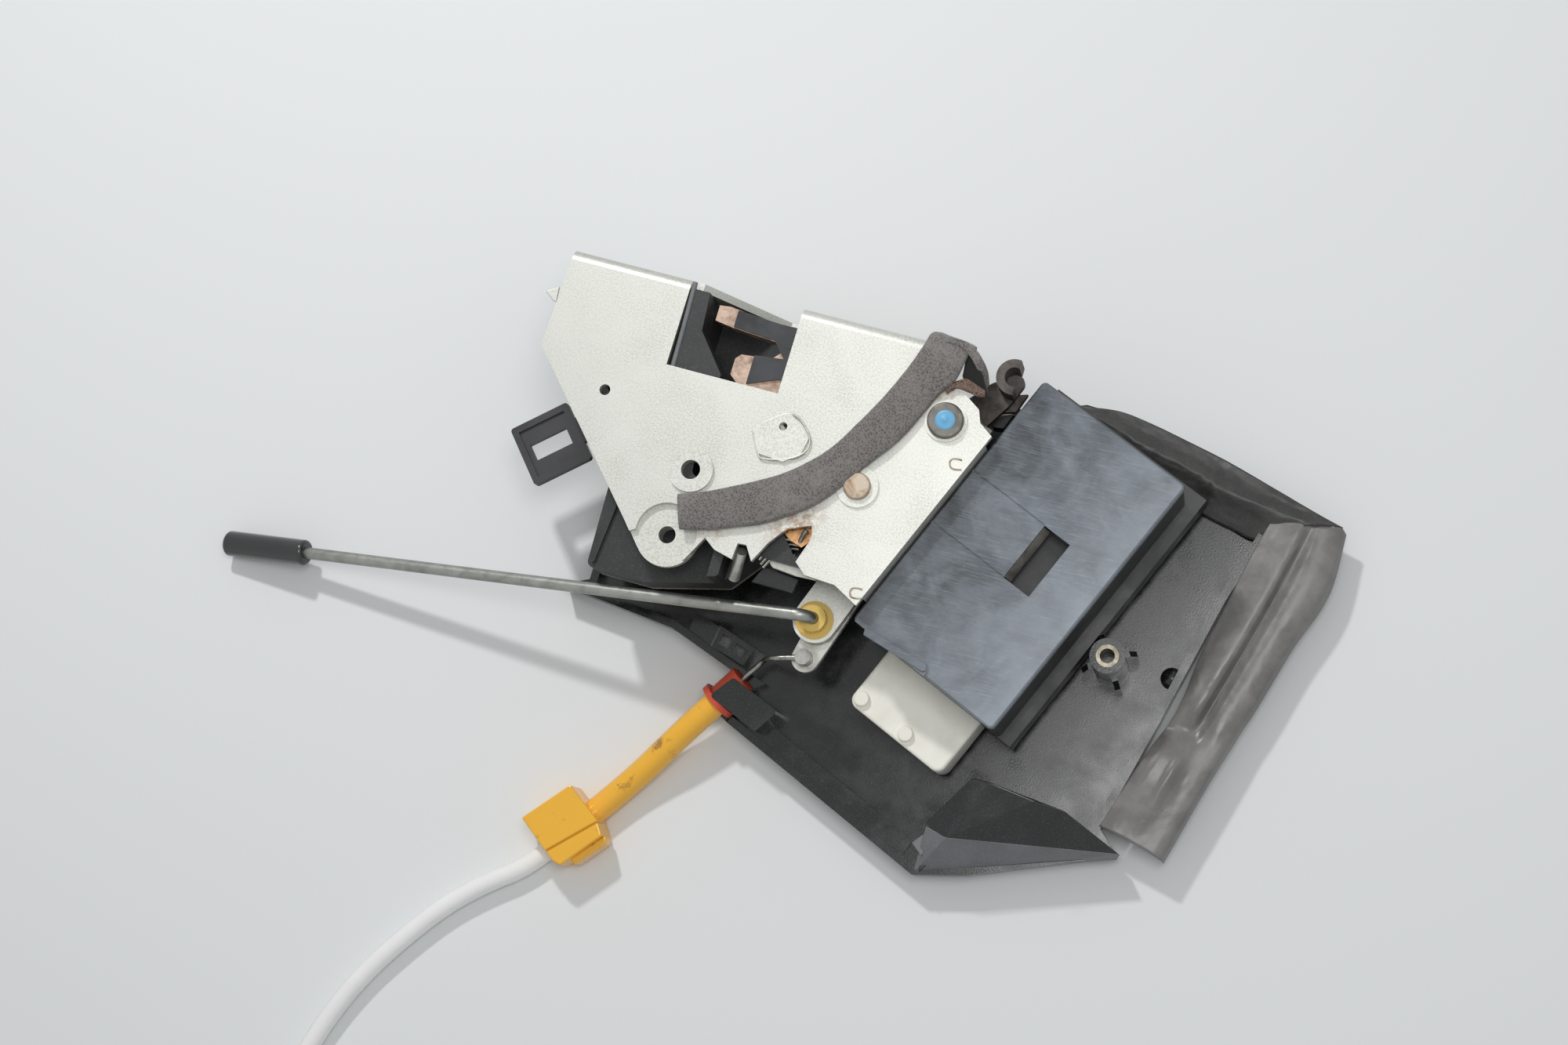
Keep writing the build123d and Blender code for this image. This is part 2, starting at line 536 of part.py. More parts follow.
def foam_seal():
    """Strip of soft foam laid across the face plate, wrapping over its top right corner."""
    upper = [(-13.1, -20.8), (-4.6, -17.6), (7.5, -11.4), (14.7, -7.0), (24.9, 2.5), (30.8, 12.0), (36.8, 23.4),
             (42.9, 40.6)]
    lower = [(57.6, 40.6), (56.2, 33.0), (50.6, 25.5), (45.0, 13.0), (37.2, 1.6), (29.0, -10.0), (18.4, -19.1),
             (6.0, -25.4), (-9.6, -30.4)]
    strip = prism(upper + lower, PLATE_TOP, PLATE_TOP + FOAM_THICKNESS)
    for pivot in (PAWL_PIVOT, RELEASE_PIVOT):
        strip -= disc(pivot, RIVET_PAD + 0.8, PLATE_TOP - 1, PLATE_TOP + 9)
    return strip


def trim_clip():
    """Plastic tab with a square window, standing out from under the plate's left edge."""
    turn = 41.5
    half = CLIP_SIZE / 2
    tab = box(-half, half, -half, half, CLIP_BOTTOM, CLIP_BOTTOM + CLIP_THICKNESS)
    tab = fillet(tab.edges().filter_by(Axis.Z), 1.0)
    tab -= box(2.0 - half, half - 2.0, 2.0 - half, half - 2.0, CLIP_BOTTOM + CLIP_THICKNESS - 0.7, CLIP_BOTTOM + 9)
    tab -= box(-6.0, 6.0, -2.6, 2.6, CLIP_BOTTOM - 1, CLIP_BOTTOM + 9)
    arm = box(half - 0.5, half + 8.1, -4.0, 4.0, CLIP_BOTTOM, CLIP_BOTTOM + CLIP_THICKNESS)
    return Pos(CLIP_CENTRE[0], CLIP_CENTRE[1], 0) * Rot(0, 0, turn) * (tab + arm)


def claw_spring():
    """Torsion spring in the deck's recess under the claw."""
    low = CLAW_BOTTOM - 2.4
    return coil(CLAW_PIVOT, 6.0, 1.4, low, 1, [])


def pawl_spring():
    """Torsion spring of the pawl, seen with its hook beside the brass bush."""
    centre = (29.0, -22.6)
    return coil(centre, 3.4, 1.3, DECK_TOP + 0.4, 5, [])


def spring_post():
    """Brass-coloured bush that the pawl spring is wound on."""
    return disc((29.0, -22.6), 5.0, DECK_TOP, PLATE_LOW)


def stop_pin():
    """Copper-coated stop pin that leans out of the notch in the plate's lower edge."""
    start = Vector(8.0, -31.0, 47.0)
    end = Vector(6.4, -38.2, 39.5)
    plane = Plane(start, z_dir=(end - start).normalized())
    return plane * Cylinder(1.7, (end - start).length, align=(Align.CENTER, Align.CENTER, Align.MIN))


def to_module(place):
    """A latch point in the module's axes."""
    turn = math.radians(-MODULE_TURN)
    return (place[0] * math.cos(turn) - place[1] * math.sin(turn),
            place[0] * math.sin(turn) + place[1] * math.cos(turn))


# The gear train, in the module's axes; the wheel faces the lock lever's fork
GEAR_LINE = to_module(LOCK_PIVOT)[1]
WHEEL = (WHEEL_ACROSS, GEAR_LINE)
WHEEL_LOW = 24.5
STUD_REACH = 9.0
WHEEL_STUD_DIAMETER = 3.6
WHEEL_STUD = from_module(WHEEL[0] - STUD_REACH, GEAR_LINE)
WHEEL_SPINDLE = 4.0
FORK_WIDTH = 9.6
FORK_SLOT = WHEEL_STUD_DIAMETER + 2.0
FORK_END = from_module(WHEEL[0] - STUD_REACH + 1.6, GEAR_LINE)
BUSHING_NECK = 8.2
GEAR_HEIGHT = WHEEL_LOW + WHEEL_THICKNESS / 2
MOTOR_FRONT = 26.0
WORM_FRONT = -14.0
WORM_BACK = 13.0
FLOOR_OF_BOX = BOX_BOTTOM + BOX_WALL

# The tray's rim, round from the tip under the latch head
TRAY_EDGE = [
    (-51.0, -51.4), (-14.0, -54.8), (13.0, -64.0), from_module(33.0, -60.0), from_module(32.0, -67.4),
    from_module(110.0, -67.4), from_module(122.0, -58.0), from_module(146.0, -33.0), from_module(151.0, -25.5),
    from_module(144.0, -23.0), from_module(138.5, 11.2), from_module(131.6, 50.2), from_module(128.4, 80.0),
    from_module(98.0, 81.6), from_module(82.5, 79.6), from_module(64.0, 72.6), (69.6, 36.4), (44.0, 34.0),
    (-24.0, 14.0), (-43.0, -10.0), (-43.0, -47.4)]


ARM_TOP = 16.0
ARM_LUG = [(-6.9, -48.8), (1.2, -51.0), (0.2, -57.0), (-7.4, -54.2)]
ARM_FRAME = [(0.9, -50.4), (13.2, -54.3), (11.2, -60.0), (-0.2, -57.0)]
ARM_WINDOWS = [[(2.6, -52.6), (6.0, -53.7), (5.2, -56.6), (1.8, -55.7)],
               [(7.4, -54.2), (11.2, -55.4), (10.4, -58.2), (6.6, -57.1)]]
CABLE_SEAT = [(4.6, -71.4), (10.0, -64.4), (25.6, -70.4), (20.8, -77.8)]
CABLE_SEAT_TOP = 17.5


def splash_tray():
    """Moulded carrier: floor, rim, posts for the latch head, seats for the box and the boss."""
    rim = prism(TRAY_EDGE, 0.0, TRAY_RIM_TOP)
    inside = offset(make_face(Polyline(*TRAY_EDGE, close=True)), -TRAY_WALL, kind=Kind.INTERSECTION)
    tray = rim - Pos(0, 0, -1) * extrude(inside, TRAY_RIM_TOP + 2, dir=(0, 0, 1))
    tray += prism(TRAY_EDGE, TRAY_FLOOR_BOTTOM, TRAY_FLOOR_TOP)
    for place in POST_HOLES:
        tray += disc(place, POST_DIAMETER, TRAY_FLOOR_TOP - 1, BACK_BOTTOM)
    for x, y in ((62.0, -15.0), (100.0, -15.0), (62.0, 60.0), (100.0, 60.0), (83.0, -32.0)):
        tray += in_module(disc((x, y), 8.0, TRAY_FLOOR_TOP - 1, BOX_BOTTOM))
    boss = disc(BOSS, BOSS_DIAMETER, TRAY_FLOOR_TOP - 1, BOSS_TOP)
    for turn in (55, 145, 235, 325):
        rib = box(0, 8.2, -0.8, 0.8, TRAY_FLOOR_TOP - 1, BOSS_TOP - 10.0)
        rib = chamfer(rib.edges().filter_by(Axis.Y).group_by(Axis.Z)[-1].sort_by(Axis.X)[-1], 5.0, 2.0)
        boss += Pos(BOSS[0], BOSS[1], 0) * Rot(0, 0, turn) * rib
    tray += in_module(boss)
    tray += in_module(box(45.0, 104.0, -66.0, -59.8, TRAY_FLOOR_TOP - 1, TRAY_LEDGE_TOP))
    tray += prism(ARM_LUG, TRAY_FLOOR_TOP - 1, ARM_TOP)
    tray += prism(ARM_FRAME, TRAY_FLOOR_TOP - 1, ARM_TOP - 1.0)
    for window in ARM_WINDOWS:
        tray -= prism(window, TRAY_FLOOR_TOP + 1.5, ARM_TOP + 1)
    tray += prism(CABLE_SEAT, TRAY_FLOOR_TOP - 1, CABLE_SEAT_TOP, 1.0)
    dome = Pos(DOME[0], DOME[1], TRAY_FLOOR_TOP - 0.4) * Sphere(3.3)
    tray += in_module(split(dome, bisect_by=Plane.XY.offset(TRAY_FLOOR_TOP - 0.5), keep=Keep.TOP))
    for place in POST_HOLES:
        tray -= disc(place, SCREW_BORE, -1, BACK_BOTTOM + 1) + disc(place, 6.8, -1, 3.0)
    tray -= in_module(disc(BOSS, INSERT_DIAMETER, BOSS_TOP - 12.0, BOSS_TOP + 1))
    out = (Align.CENTER, Align.CENTER, Align.MAX)
    ahead = (Align.CENTER, Align.CENTER, Align.MIN)
    tray -= CABLE_PLANE * Cylinder(FERRULE_DIAMETER / 2 + 0.02, FERRULE_LENGTH + 0.2, align=ahead)
    tray -= CABLE_PLANE * Cylinder(FERRULE_DIAMETER / 2 + 2.0, 20.0, align=out)
    tray -= CABLE_PLANE * Cylinder(1.8, 40.0, align=ahead)
    return tray


def boss_insert():
    """Brass insert in the boss."""
    insert = disc(BOSS, INSERT_DIAMETER, BOSS_TOP - 12.0, BOSS_TOP)
    return in_module(insert - disc(BOSS, BOSS_BORE, BOSS_TOP - 13.0, BOSS_TOP + 1))


def tray_gusset():
    """Sloping corner panel that stiffens the tray's open corner."""
    outline = [(111.0, -62.5), (109.4, -34.0), (146.0, -27.0), (120.5, -54.5)]
    block = prism(outline, TRAY_FLOOR_TOP, 22.0)
    slope = Plane((128.0, -30.0, 21.5), z_dir=(0.30, -0.30, 1.0))
    return in_module(split(block, bisect_by=slope, keep=Keep.BOTTOM))


def side_apron():
    """Soft apron along the tray's right edge."""
    outline = [(126.2, 79.0), (129.6, 50.2), (136.6, 11.2), (141.6, -20.5), (164.0, -19.4), (158.2, 13.3),
               (155.4, 33.1), (148.0, 86.0), (144.5, 89.0), (128.0, 86.0)]
    return in_module(prism(outline, TRAY_RIM_TOP, TRAY_RIM_TOP + 2.4))


def back_wall():
    """Dark wall along the tray's back edge, behind the box."""
    outline = [(66.0, 73.9), (82.5, 79.6), (98.0, 81.6), (124.0, 80.4), (123.0, 77.0), (98.5, 78.4), (83.5, 76.4),
               (67.0, 70.6)]
    return in_module(prism(outline, TRAY_RIM_TOP, TRAY_RIM_TOP + 10.0))


def actuator_housing():
    """Lower shell of the actuator box, with its stepped foot, spindle, cradle and lever slot."""
    shell = box(BOX_LEFT, BOX_RIGHT, BOX_FRONT, BOX_BACK, BOX_BOTTOM, COVER_BOTTOM)
    shell = fillet(shell.edges().filter_by(Axis.Z), 1.5)
    shell += box(BOX_LEFT, BOX_RIGHT + BOX_FOOT, BOX_FRONT, BOX_BACK + BOX_FOOT, BOX_BOTTOM, BOX_FOOT_TOP)
    shell -= box(BOX_LEFT + BOX_WALL, BOX_RIGHT - BOX_WALL, BOX_FRONT + BOX_WALL, BOX_BACK - BOX_WALL,
                 FLOOR_OF_BOX, COVER_BOTTOM + 1)
    swing = 9.5
    shell -= box(BOX_LEFT - 1, BOX_LEFT + BOX_WALL + 1, GEAR_LINE - swing, GEAR_LINE + swing,
                 LOCK_LEVER_BOTTOM - 0.8, LOCK_LEVER_BOTTOM + LEVER_THICKNESS + 0.8)
    shell += disc(WHEEL, 8.0, BOX_BOTTOM + 1, WHEEL_LOW - 0.3)
    shell += disc(WHEEL, WHEEL_SPINDLE, BOX_BOTTOM + 1, COVER_BOTTOM)
    motor_hole = Pos(WORM_LINE, 0, GEAR_HEIGHT) * Rot(90, 0, 0) * Cylinder(MOTOR_DIAMETER / 2 + 0.3, 160.0)
    for start in (MOTOR_FRONT + 3.0, MOTOR_FRONT + 22.0):
        shell += box(WORM_LINE - 10.0, WORM_LINE + 10.0, start, start + 3.0, FLOOR_OF_BOX - 1, 22.0) - motor_hole
    shaft = Pos(WORM_LINE, 0, GEAR_HEIGHT) * Rot(90, 0, 0) * Cylinder(SHAFT_DIAMETER / 2 + 0.06, 60.0)
    shell += box(WORM_LINE - 3.0, WORM_LINE + 3.0, WORM_FRONT - 2.5, WORM_FRONT - 0.4, FLOOR_OF_BOX - 1, 31.0) - shaft
    return in_module(shell)


def actuator_cover():
    """Glossy cover of the box, with a bevelled window, a raised lip and two parting lines."""
    cover = box(BOX_LEFT, BOX_RIGHT, BOX_FRONT, BOX_BACK, COVER_BOTTOM, COVER_TOP)
    cover = fillet(cover.edges().filter_by(Axis.Z), 1.5)
    cover = chamfer(cover.faces().sort_by(Axis.Z)[-1].edges(), 0.5)
    inner = BOX_WALL + 0.2
    lip = box(BOX_LEFT + inner, BOX_RIGHT - inner, BOX_FRONT + inner, BOX_BACK - inner, COVER_BOTTOM - COVER_LIP,
              COVER_BOTTOM + 1)
    lip -= box(BOX_LEFT + inner + 1.6, BOX_RIGHT - inner - 1.6, BOX_FRONT + inner + 1.6, BOX_BACK - inner - 1.6,
               COVER_BOTTOM - COVER_LIP - 1, COVER_BOTTOM)
    cover += lip
    left, right, front, back = COVER_WINDOW
    cover -= box(left, right, front, back, COVER_BOTTOM - 1, COVER_TOP + 1)
    cover += box(BOX_LEFT + 1.0, left, BOX_FRONT, BOX_FRONT + 1.4, COVER_TOP - 1, COVER_TOP + 0.8)
    cover -= box(BOX_LEFT - 1, left, back - 0.3, back + 0.3, COVER_TOP - 0.5, COVER_TOP + 1)
    cover -= box(BOX_LEFT - 1, left, front - 0.3, front + 0.3, COVER_TOP - 0.5, COVER_TOP + 1)
    cover -= disc(WHEEL, WHEEL_SPINDLE, COVER_BOTTOM - COVER_LIP - 2, COVER_BOTTOM)
    return in_module(cover)


def dc_motor():
    """Motor can with two flats and its end bush."""
    body = Cylinder(MOTOR_DIAMETER / 2, MOTOR_LENGTH)
    body &= Box(MOTOR_DIAMETER + 2, MOTOR_DIAMETER - 4, MOTOR_LENGTH)
    body += Pos(0, 0, MOTOR_LENGTH / 2 + 0.7) * Cylinder(4.0, 1.4)
    body -= Pos(0, 0, MOTOR_LENGTH / 2) * Cylinder(SHAFT_DIAMETER / 2 + 0.06, 16.0)
    middle = MOTOR_FRONT + MOTOR_LENGTH / 2
    return in_module(Pos(WORM_LINE, middle, GEAR_HEIGHT) * Rot(90, 0, 0) * body)


def motor_worm():
    """Worm on the motor's shaft."""
    length = WORM_BACK - WORM_FRONT
    worm = Cylinder(WORM_DIAMETER / 2, length)
    for step in range(7):
        groove = Cylinder(WORM_DIAMETER / 2 + 1, 1.2) - Cylinder(WORM_DIAMETER / 2 - 1.0, 1.2)
        worm -= Pos(0, 0, -length / 2 + 3.0 + step * 3.4) * groove
    shaft_length = MOTOR_FRONT + 5.0 - (WORM_FRONT - 3.0)
    worm += Pos(0, 0, -(shaft_length - length) / 2 + 3.0) * Cylinder(SHAFT_DIAMETER / 2, shaft_length)
    middle = (WORM_FRONT + WORM_BACK) / 2
    return in_module(Pos(WORM_LINE, middle, GEAR_HEIGHT) * Rot(90, 0, 0) * worm)


def worm_wheel():
    """Toothed wheel with the stud that moves the lock lever."""
    root = WHEEL_RADIUS - 1.4
    outline = []
    for tooth in range(WHEEL_TEETH):
        for part, radius in ((0.0, root), (0.22, WHEEL_RADIUS), (0.5, WHEEL_RADIUS), (0.72, root)):
            outline.append(polar((0, 0), radius, 360.0 * (tooth + part) / WHEEL_TEETH))
    wheel = prism(outline, WHEEL_LOW, WHEEL_LOW + WHEEL_THICKNESS)
    wheel += disc((-STUD_REACH, 0), WHEEL_STUD_DIAMETER, WHEEL_LOW, LOCK_LEVER_BOTTOM + LEVER_THICKNESS + 0.6)
    wheel -= disc((0, 0), WHEEL_SPINDLE + 0.12, WHEEL_LOW - 1, WHEEL_LOW + 20)
    return in_module(Pos(WHEEL[0], WHEEL[1], 0) * wheel)


def position_switches():
    """Two microswitches beside the gear wheel, with their plungers."""
    group = []
    for y in (30.0, 48.0):
        body = box(61.0, 67.4, y, y + 13.0, FLOOR_OF_BOX, FLOOR_OF_BOX + 12.0)
        body += disc((64.2, y + 3.0), 1.6, FLOOR_OF_BOX + 11.0, FLOOR_OF_BOX + 13.2)
        group.append(in_module(body))
    return Compound(group)


def connector_block():
    """Ivory plug housing that stands out under the box, with two moulded studs."""
    left, right, front, back = CONNECTOR
    block = box(left, right, front, back, CONNECTOR_BOTTOM, CONNECTOR_TOP)
    block = fillet(block.edges().filter_by(Axis.Z).group_by(Axis.Y)[0], 3.0)
    block = fillet(block.faces().sort_by(Axis.Z)[-1].edges().group_by(Axis.Y)[0], 1.0)
    return in_module(block)


def connector_studs():
    """Round stud heads on the plug housing."""
    group = []
    for x in (CONNECTOR[0] + 2.9, CONNECTOR[0] + 19.2):
        stud = disc((x, CONNECTOR[2] + 3.2), STUD_DIAMETER, CONNECTOR_TOP, CONNECTOR_TOP + 1.6)
        group.append(in_module(fillet(stud.edges().sort_by(Axis.Z)[-1], 0.6)))
    return Compound(group)


def carrier_screws():
    """Screws up through the tray's posts into the back plate."""
    group = []
    for place in POST_HOLES:
        screw = disc(place, SCREW_DIAMETER, 0.8, BACK_BOTTOM + BACK_THICKNESS)
        head = disc(place, 6.4, 0.6, 2.8)
        group.append(screw + head)
    return Compound(group)


# The cable leaves the tray beside the fork and lies down to the surface
FERRULE_LENGTH = 9.0
FERRULE_FLANGE = 1.8
ON_FLOOR = CONDUIT_DIAMETER / 2 + 0.1
SLEEVE_ON_FLOOR = CABLE_SLEEVE_DIAMETER / 2 + 0.1
SLEEVE_ROUTE = [(5.8, -72.6, 11.0), (-1.0, -82.7, 9.6), (-8.5, -94.6, 6.0), (-15.8, -105.5, SLEEVE_ON_FLOOR),
                (-22.6, -115.2, SLEEVE_ON_FLOOR)]
CABLE_AWAY = (Vector(*SLEEVE_ROUTE[1]) - Vector(*SLEEVE_ROUTE[0])).normalized()
FERRULE_FACE = Vector(*SLEEVE_ROUTE[0]) - CABLE_AWAY * FERRULE_FLANGE
CABLE_PLANE = Plane(FERRULE_FACE, z_dir=-CABLE_AWAY)
CLIP_AWAY = (Vector(*SLEEVE_ROUTE[-1]) - Vector(*SLEEVE_ROUTE[-2])).normalized()
CLIP_FACE = Vector(*SLEEVE_ROUTE[-1])
CONDUIT_ROUTE = [(-36.6, -135.2), (-46.4, -142.6), (-57.0, -152.6), (-66.6, -165.6), (-76.6, -181.6),
                 (-84.2, -201.0), (-88.2, -221.5)]
COIL_RADIUS = 33.0
COIL_TURNS = 2
COIL_STUB = 30.0
COIL_ENTRY = (-89.0, -260.0)
COIL_CENTRE = (COIL_ENTRY[0] - COIL_RADIUS, COIL_ENTRY[1] - COIL_STUB)


def tube(points, diameter):
    """A bent tube whose arcs are as large as the runs beside them allow."""
    radii = []
    for before, here, after in zip(points, points[1:], points[2:]):
        into = Vector(*here) - Vector(*before)
        out = Vector(*after) - Vector(*here)
        turn = math.radians(into.get_angle(out))
        radii.append(0.45 * min(into.length, out.length) / math.tan(turn / 2))
    path = FilletPolyline(*points, radius=radii)
    solid = sweep(Plane(path @ 0, z_dir=path % 0) * Circle(diameter / 2), path=path)
    expected = math.pi * diameter * diameter / 4 * path.length
    print("tube", [round(r, 1) for r in radii], round(solid.volume / expected, 4), round(path.length, 1))
    return solid


def cable_ferrule():
    """Red end ferrule seated in the tray's cable seat, its flange outside."""
    ahead = (Align.CENTER, Align.CENTER, Align.MIN)
    body = Cylinder(FERRULE_DIAMETER / 2, FERRULE_LENGTH, align=ahead)
    body += Cylinder(FERRULE_DIAMETER / 2 + 1.6, FERRULE_FLANGE, align=(Align.CENTER, Align.CENTER, Align.MAX))
    return CABLE_PLANE * (body - Cylinder(CORE_DIAMETER / 2 + 0.4, 3 * FERRULE_LENGTH))


def cable_core():
    """Inner wire between the ferrule and the inside lever, with its crimped nipple."""
    level = INSIDE_LEVER_BOTTOM + LEVER_THICKNESS + 2.8
    start = FERRULE_FACE - CABLE_AWAY * 6.6
    straight = FERRULE_FACE - CABLE_AWAY * (FERRULE_LENGTH + 9.0)
    path = FilletPolyline(start, straight, (22.4, -56.6, level), (INSIDE_HOOK[0], INSIDE_HOOK[1], level), radius=3.5)
    wire = sweep(Plane(path @ 0, z_dir=path % 0) * Circle(CORE_DIAMETER / 2), path=path)
    return wire + disc(INSIDE_HOOK, 4.6, level - 2.0, level + 2.0)


def cable_sleeve():
    """Yellow rubber sleeve from the ferrule to the clip."""
    return tube(SLEEVE_ROUTE, CABLE_SLEEVE_DIAMETER)


def clip_frame():
    """Where the cable's clip sits: along the cable, on the surface."""
    heading = math.degrees(math.atan2(CLIP_AWAY.Y, CLIP_AWAY.X))
    return Pos(CLIP_FACE.X, CLIP_FACE.Y, 0) * Rot(0, 0, heading)


def cable_clip():
    """Yellow snap clip on the cable: a split block with a latch tongue."""
    width, length, height = CABLE_CLIP
    body = box(0, length, -width / 2, width / 2, 0.1, height)
    body = fillet(body.edges().filter_by(Axis.X), 2.0)
    body += box(3.0, length - 3.0, width / 2 - 1.0, width / 2 + 4.0, 2.0, height - 4.0)
    body -= box(length / 2 - 0.5, length / 2 + 0.5, -width, width + 9, height - 1.2, height + 1)
    return clip_frame() * body


def conduit_points():
    """The conduit's route from the clip's far face to the coil."""
    far = CLIP_FACE + CLIP_AWAY * CABLE_CLIP[1]
    points = [(far.X, far.Y, ON_FLOOR)]
    points.append((far.X + CLIP_AWAY.X * 9.4, far.Y + CLIP_AWAY.Y * 9.4, ON_FLOOR))
    points += [(x, y, ON_FLOOR) for x, y in CONDUIT_ROUTE[1:]]
    return points + [(COIL_ENTRY[0], COIL_ENTRY[1], ON_FLOOR)]


def cable_conduit():
    """White conduit from the clip to the coil."""
    return tube(conduit_points(), CONDUIT_DIAMETER)


def coil_stub(x):
    """The straight bit by which a cable end leaves the coil."""
    plane = Plane((x, COIL_CENTRE[1], ON_FLOOR), z_dir=(0, 1, 0))
    return plane * Cylinder(CONDUIT_DIAMETER / 2, COIL_STUB, align=(Align.CENTER, Align.CENTER, Align.MIN))


def cable_coil():
    """Outer shape of the coiled length beyond the view."""
    radius = CONDUIT_DIAMETER / 2
    height = COIL_TURNS * CONDUIT_DIAMETER
    ring = disc(COIL_CENTRE, 2 * (COIL_RADIUS + radius), 0.1, 0.1 + height)
    ring -= disc(COIL_CENTRE, 2 * (COIL_RADIUS - radius), -1, 1 + height)
    return ring + coil_stub(COIL_CENTRE[0] + COIL_RADIUS) + coil_stub(COIL_CENTRE[0] - COIL_RADIUS)


def cable_end_fitting():
    """End fitting of the cable's far end, beside the coil."""
    plane = Plane((COIL_CENTRE[0] - COIL_RADIUS, COIL_ENTRY[1], ON_FLOOR), z_dir=(0, 1, 0))
    ahead = (Align.CENTER, Align.CENTER, Align.MIN)
    body = Cylinder(CONDUIT_DIAMETER / 2, 12.0, align=ahead) + Pos(0, 0, 11.0) * Cylinder(0.8, 12.0, align=ahead)
    return plane * (body + Pos(0, 0, 23.0) * Sphere(2.4))


FRAME_PIECES = {
    "latch_plate": latch_plate, "latch_back_plate": latch_back_plate, "latch_housing": latch_housing,
    "slot_liner": slot_liner, "claw_pivot_pin": claw_pivot_pin, "pawl_pivot_pin": pawl_pivot_pin,
    "release_pivot_rivet": release_pivot_rivet, "lock_pivot_pin": lock_pivot_pin, "claw_spring": claw_spring,
    "pawl_spring": pawl_spring, "spring_post": spring_post, "stop_pin": stop_pin, "foam_seal": foam_seal,
    "trim_clip": trim_clip, "splash_tray": splash_tray, "boss_insert": boss_insert, "tray_gusset": tray_gusset,
    "side_apron": side_apron, "back_wall": back_wall, "actuator_housing": actuator_housing,
    "actuator_cover": actuator_cover, "dc_motor": dc_motor, "position_switches": position_switches,
    "connector_block": connector_block, "connector_studs": connector_studs, "carrier_screws": carrier_screws}
MOVING_PIECES = {
    "claw": claw, "claw_jacket": claw_jacket, "pawl": pawl, "pawl_jacket": pawl_jacket,
    "outside_release_lever": outside_release_lever, "inside_release_lever": inside_release_lever,
    "cable_core": cable_core, "lock_lever": lock_lever, "rod_bushing": rod_bushing, "lock_rod": lock_rod,
    "rod_sleeve": rod_sleeve, "motor_worm": motor_worm, "worm_wheel": worm_wheel}
CABLE_PIECES = {
    "cable_ferrule": cable_ferrule, "cable_sleeve": cable_sleeve, "cable_clip": cable_clip,
    "cable_conduit": cable_conduit, "cable_coil": cable_coil, "cable_end_fitting": cable_end_fitting}

own = {name: make() for name, make in {**FRAME_PIECES, **MOVING_PIECES}.items()}
cable = {name: make() for name, make in CABLE_PIECES.items()}
bounds = Compound([solid for piece in own.values() for solid in piece.solids()]).bounding_box()
middle_x = (bounds.min.X + bounds.max.X) / 2
middle_y = (bounds.min.Y + bounds.max.Y) / 2
home = Pos(-middle_x, -middle_y, -bounds.min.Z)
print("origin", round(middle_x, 4), round(middle_y, 4), round(bounds.min.Z, 4), bounds.size)
for name, piece in {**own, **cable}.items():
    solids = piece.solids()
    placed = [home * solid for solid in solids]
    export_step(placed[0] if len(placed) == 1 else Compound(placed), f"parts/{name}.step")
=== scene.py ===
import json
import math

import bmesh
import bpy
import numpy as np
from mathutils import Matrix, Vector


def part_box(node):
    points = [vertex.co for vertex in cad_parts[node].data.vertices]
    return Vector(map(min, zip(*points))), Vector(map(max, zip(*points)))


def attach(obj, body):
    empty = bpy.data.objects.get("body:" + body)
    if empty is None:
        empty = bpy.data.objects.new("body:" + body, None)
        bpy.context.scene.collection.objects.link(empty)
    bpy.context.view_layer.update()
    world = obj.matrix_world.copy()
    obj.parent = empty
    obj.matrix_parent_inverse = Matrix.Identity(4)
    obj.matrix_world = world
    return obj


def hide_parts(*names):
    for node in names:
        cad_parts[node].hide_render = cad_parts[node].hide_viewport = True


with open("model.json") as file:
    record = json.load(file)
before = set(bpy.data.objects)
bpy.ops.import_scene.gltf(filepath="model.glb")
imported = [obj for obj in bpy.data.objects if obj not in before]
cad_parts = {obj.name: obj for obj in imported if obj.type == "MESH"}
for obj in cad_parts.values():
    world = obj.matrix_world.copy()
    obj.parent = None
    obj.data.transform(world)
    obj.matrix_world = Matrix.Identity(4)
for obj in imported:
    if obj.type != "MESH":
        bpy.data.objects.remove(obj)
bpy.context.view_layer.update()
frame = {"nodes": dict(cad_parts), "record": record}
node = frame["nodes"]

# Places are written in millimetres, in the latch head's axes, as the solids' are, in the actuator
# module's axes, which are turned from them, or in the frame's. All are brought to metres here.
ORIGIN = np.array([4.2597, -30.5823, 0.0])
MODULE_TURN = math.radians(-22.5)


def latch(points):
    """Latch head millimetres to the frame's metres: less the origin, over a thousand."""
    return (np.asarray(points, float) - ORIGIN) / 1000


def module(points):
    """Actuator module millimetres to metres: turned about the head's origin, then as in latch."""
    points = np.asarray(points, float)
    c, s = math.cos(MODULE_TURN), math.sin(MODULE_TURN)
    x, y, z = points[..., 0], points[..., 1], points[..., 2]
    return latch(np.stack([x * c - y * s, x * s + y * c, z], -1))


def plain(points):
    """Frame millimetres to metres: over a thousand."""
    return np.asarray(points, float) / 1000


# Camera and lamps.
CAMERA_AT = Vector((0.16245152, -0.07552951, 0.73878076))
CAMERA_RIGHT = Vector((0.94278753, 0.28823907, -0.16754076))
CAMERA_UP = Vector((-0.25939232, 0.94987332, 0.17451733))
SENSOR_MM = 36.0
FOCAL_MM = 57.6
NEAR_CLIP = 0.01


def make_camera():
    """The camera where the photograph's perspective puts it: its axes are the columns of its matrix."""
    camera = bpy.data.objects.new("camera", bpy.data.cameras.new("camera"))
    back = CAMERA_RIGHT.cross(CAMERA_UP)
    turn = Matrix((CAMERA_RIGHT, CAMERA_UP, back)).transposed()
    camera.matrix_world = Matrix.Translation(CAMERA_AT) @ turn.to_4x4()
    camera.data.sensor_width = SENSOR_MM
    camera.data.lens = FOCAL_MM
    camera.data.clip_start = NEAR_CLIP
    bpy.context.collection.objects.link(camera)
    bpy.context.scene.camera = camera


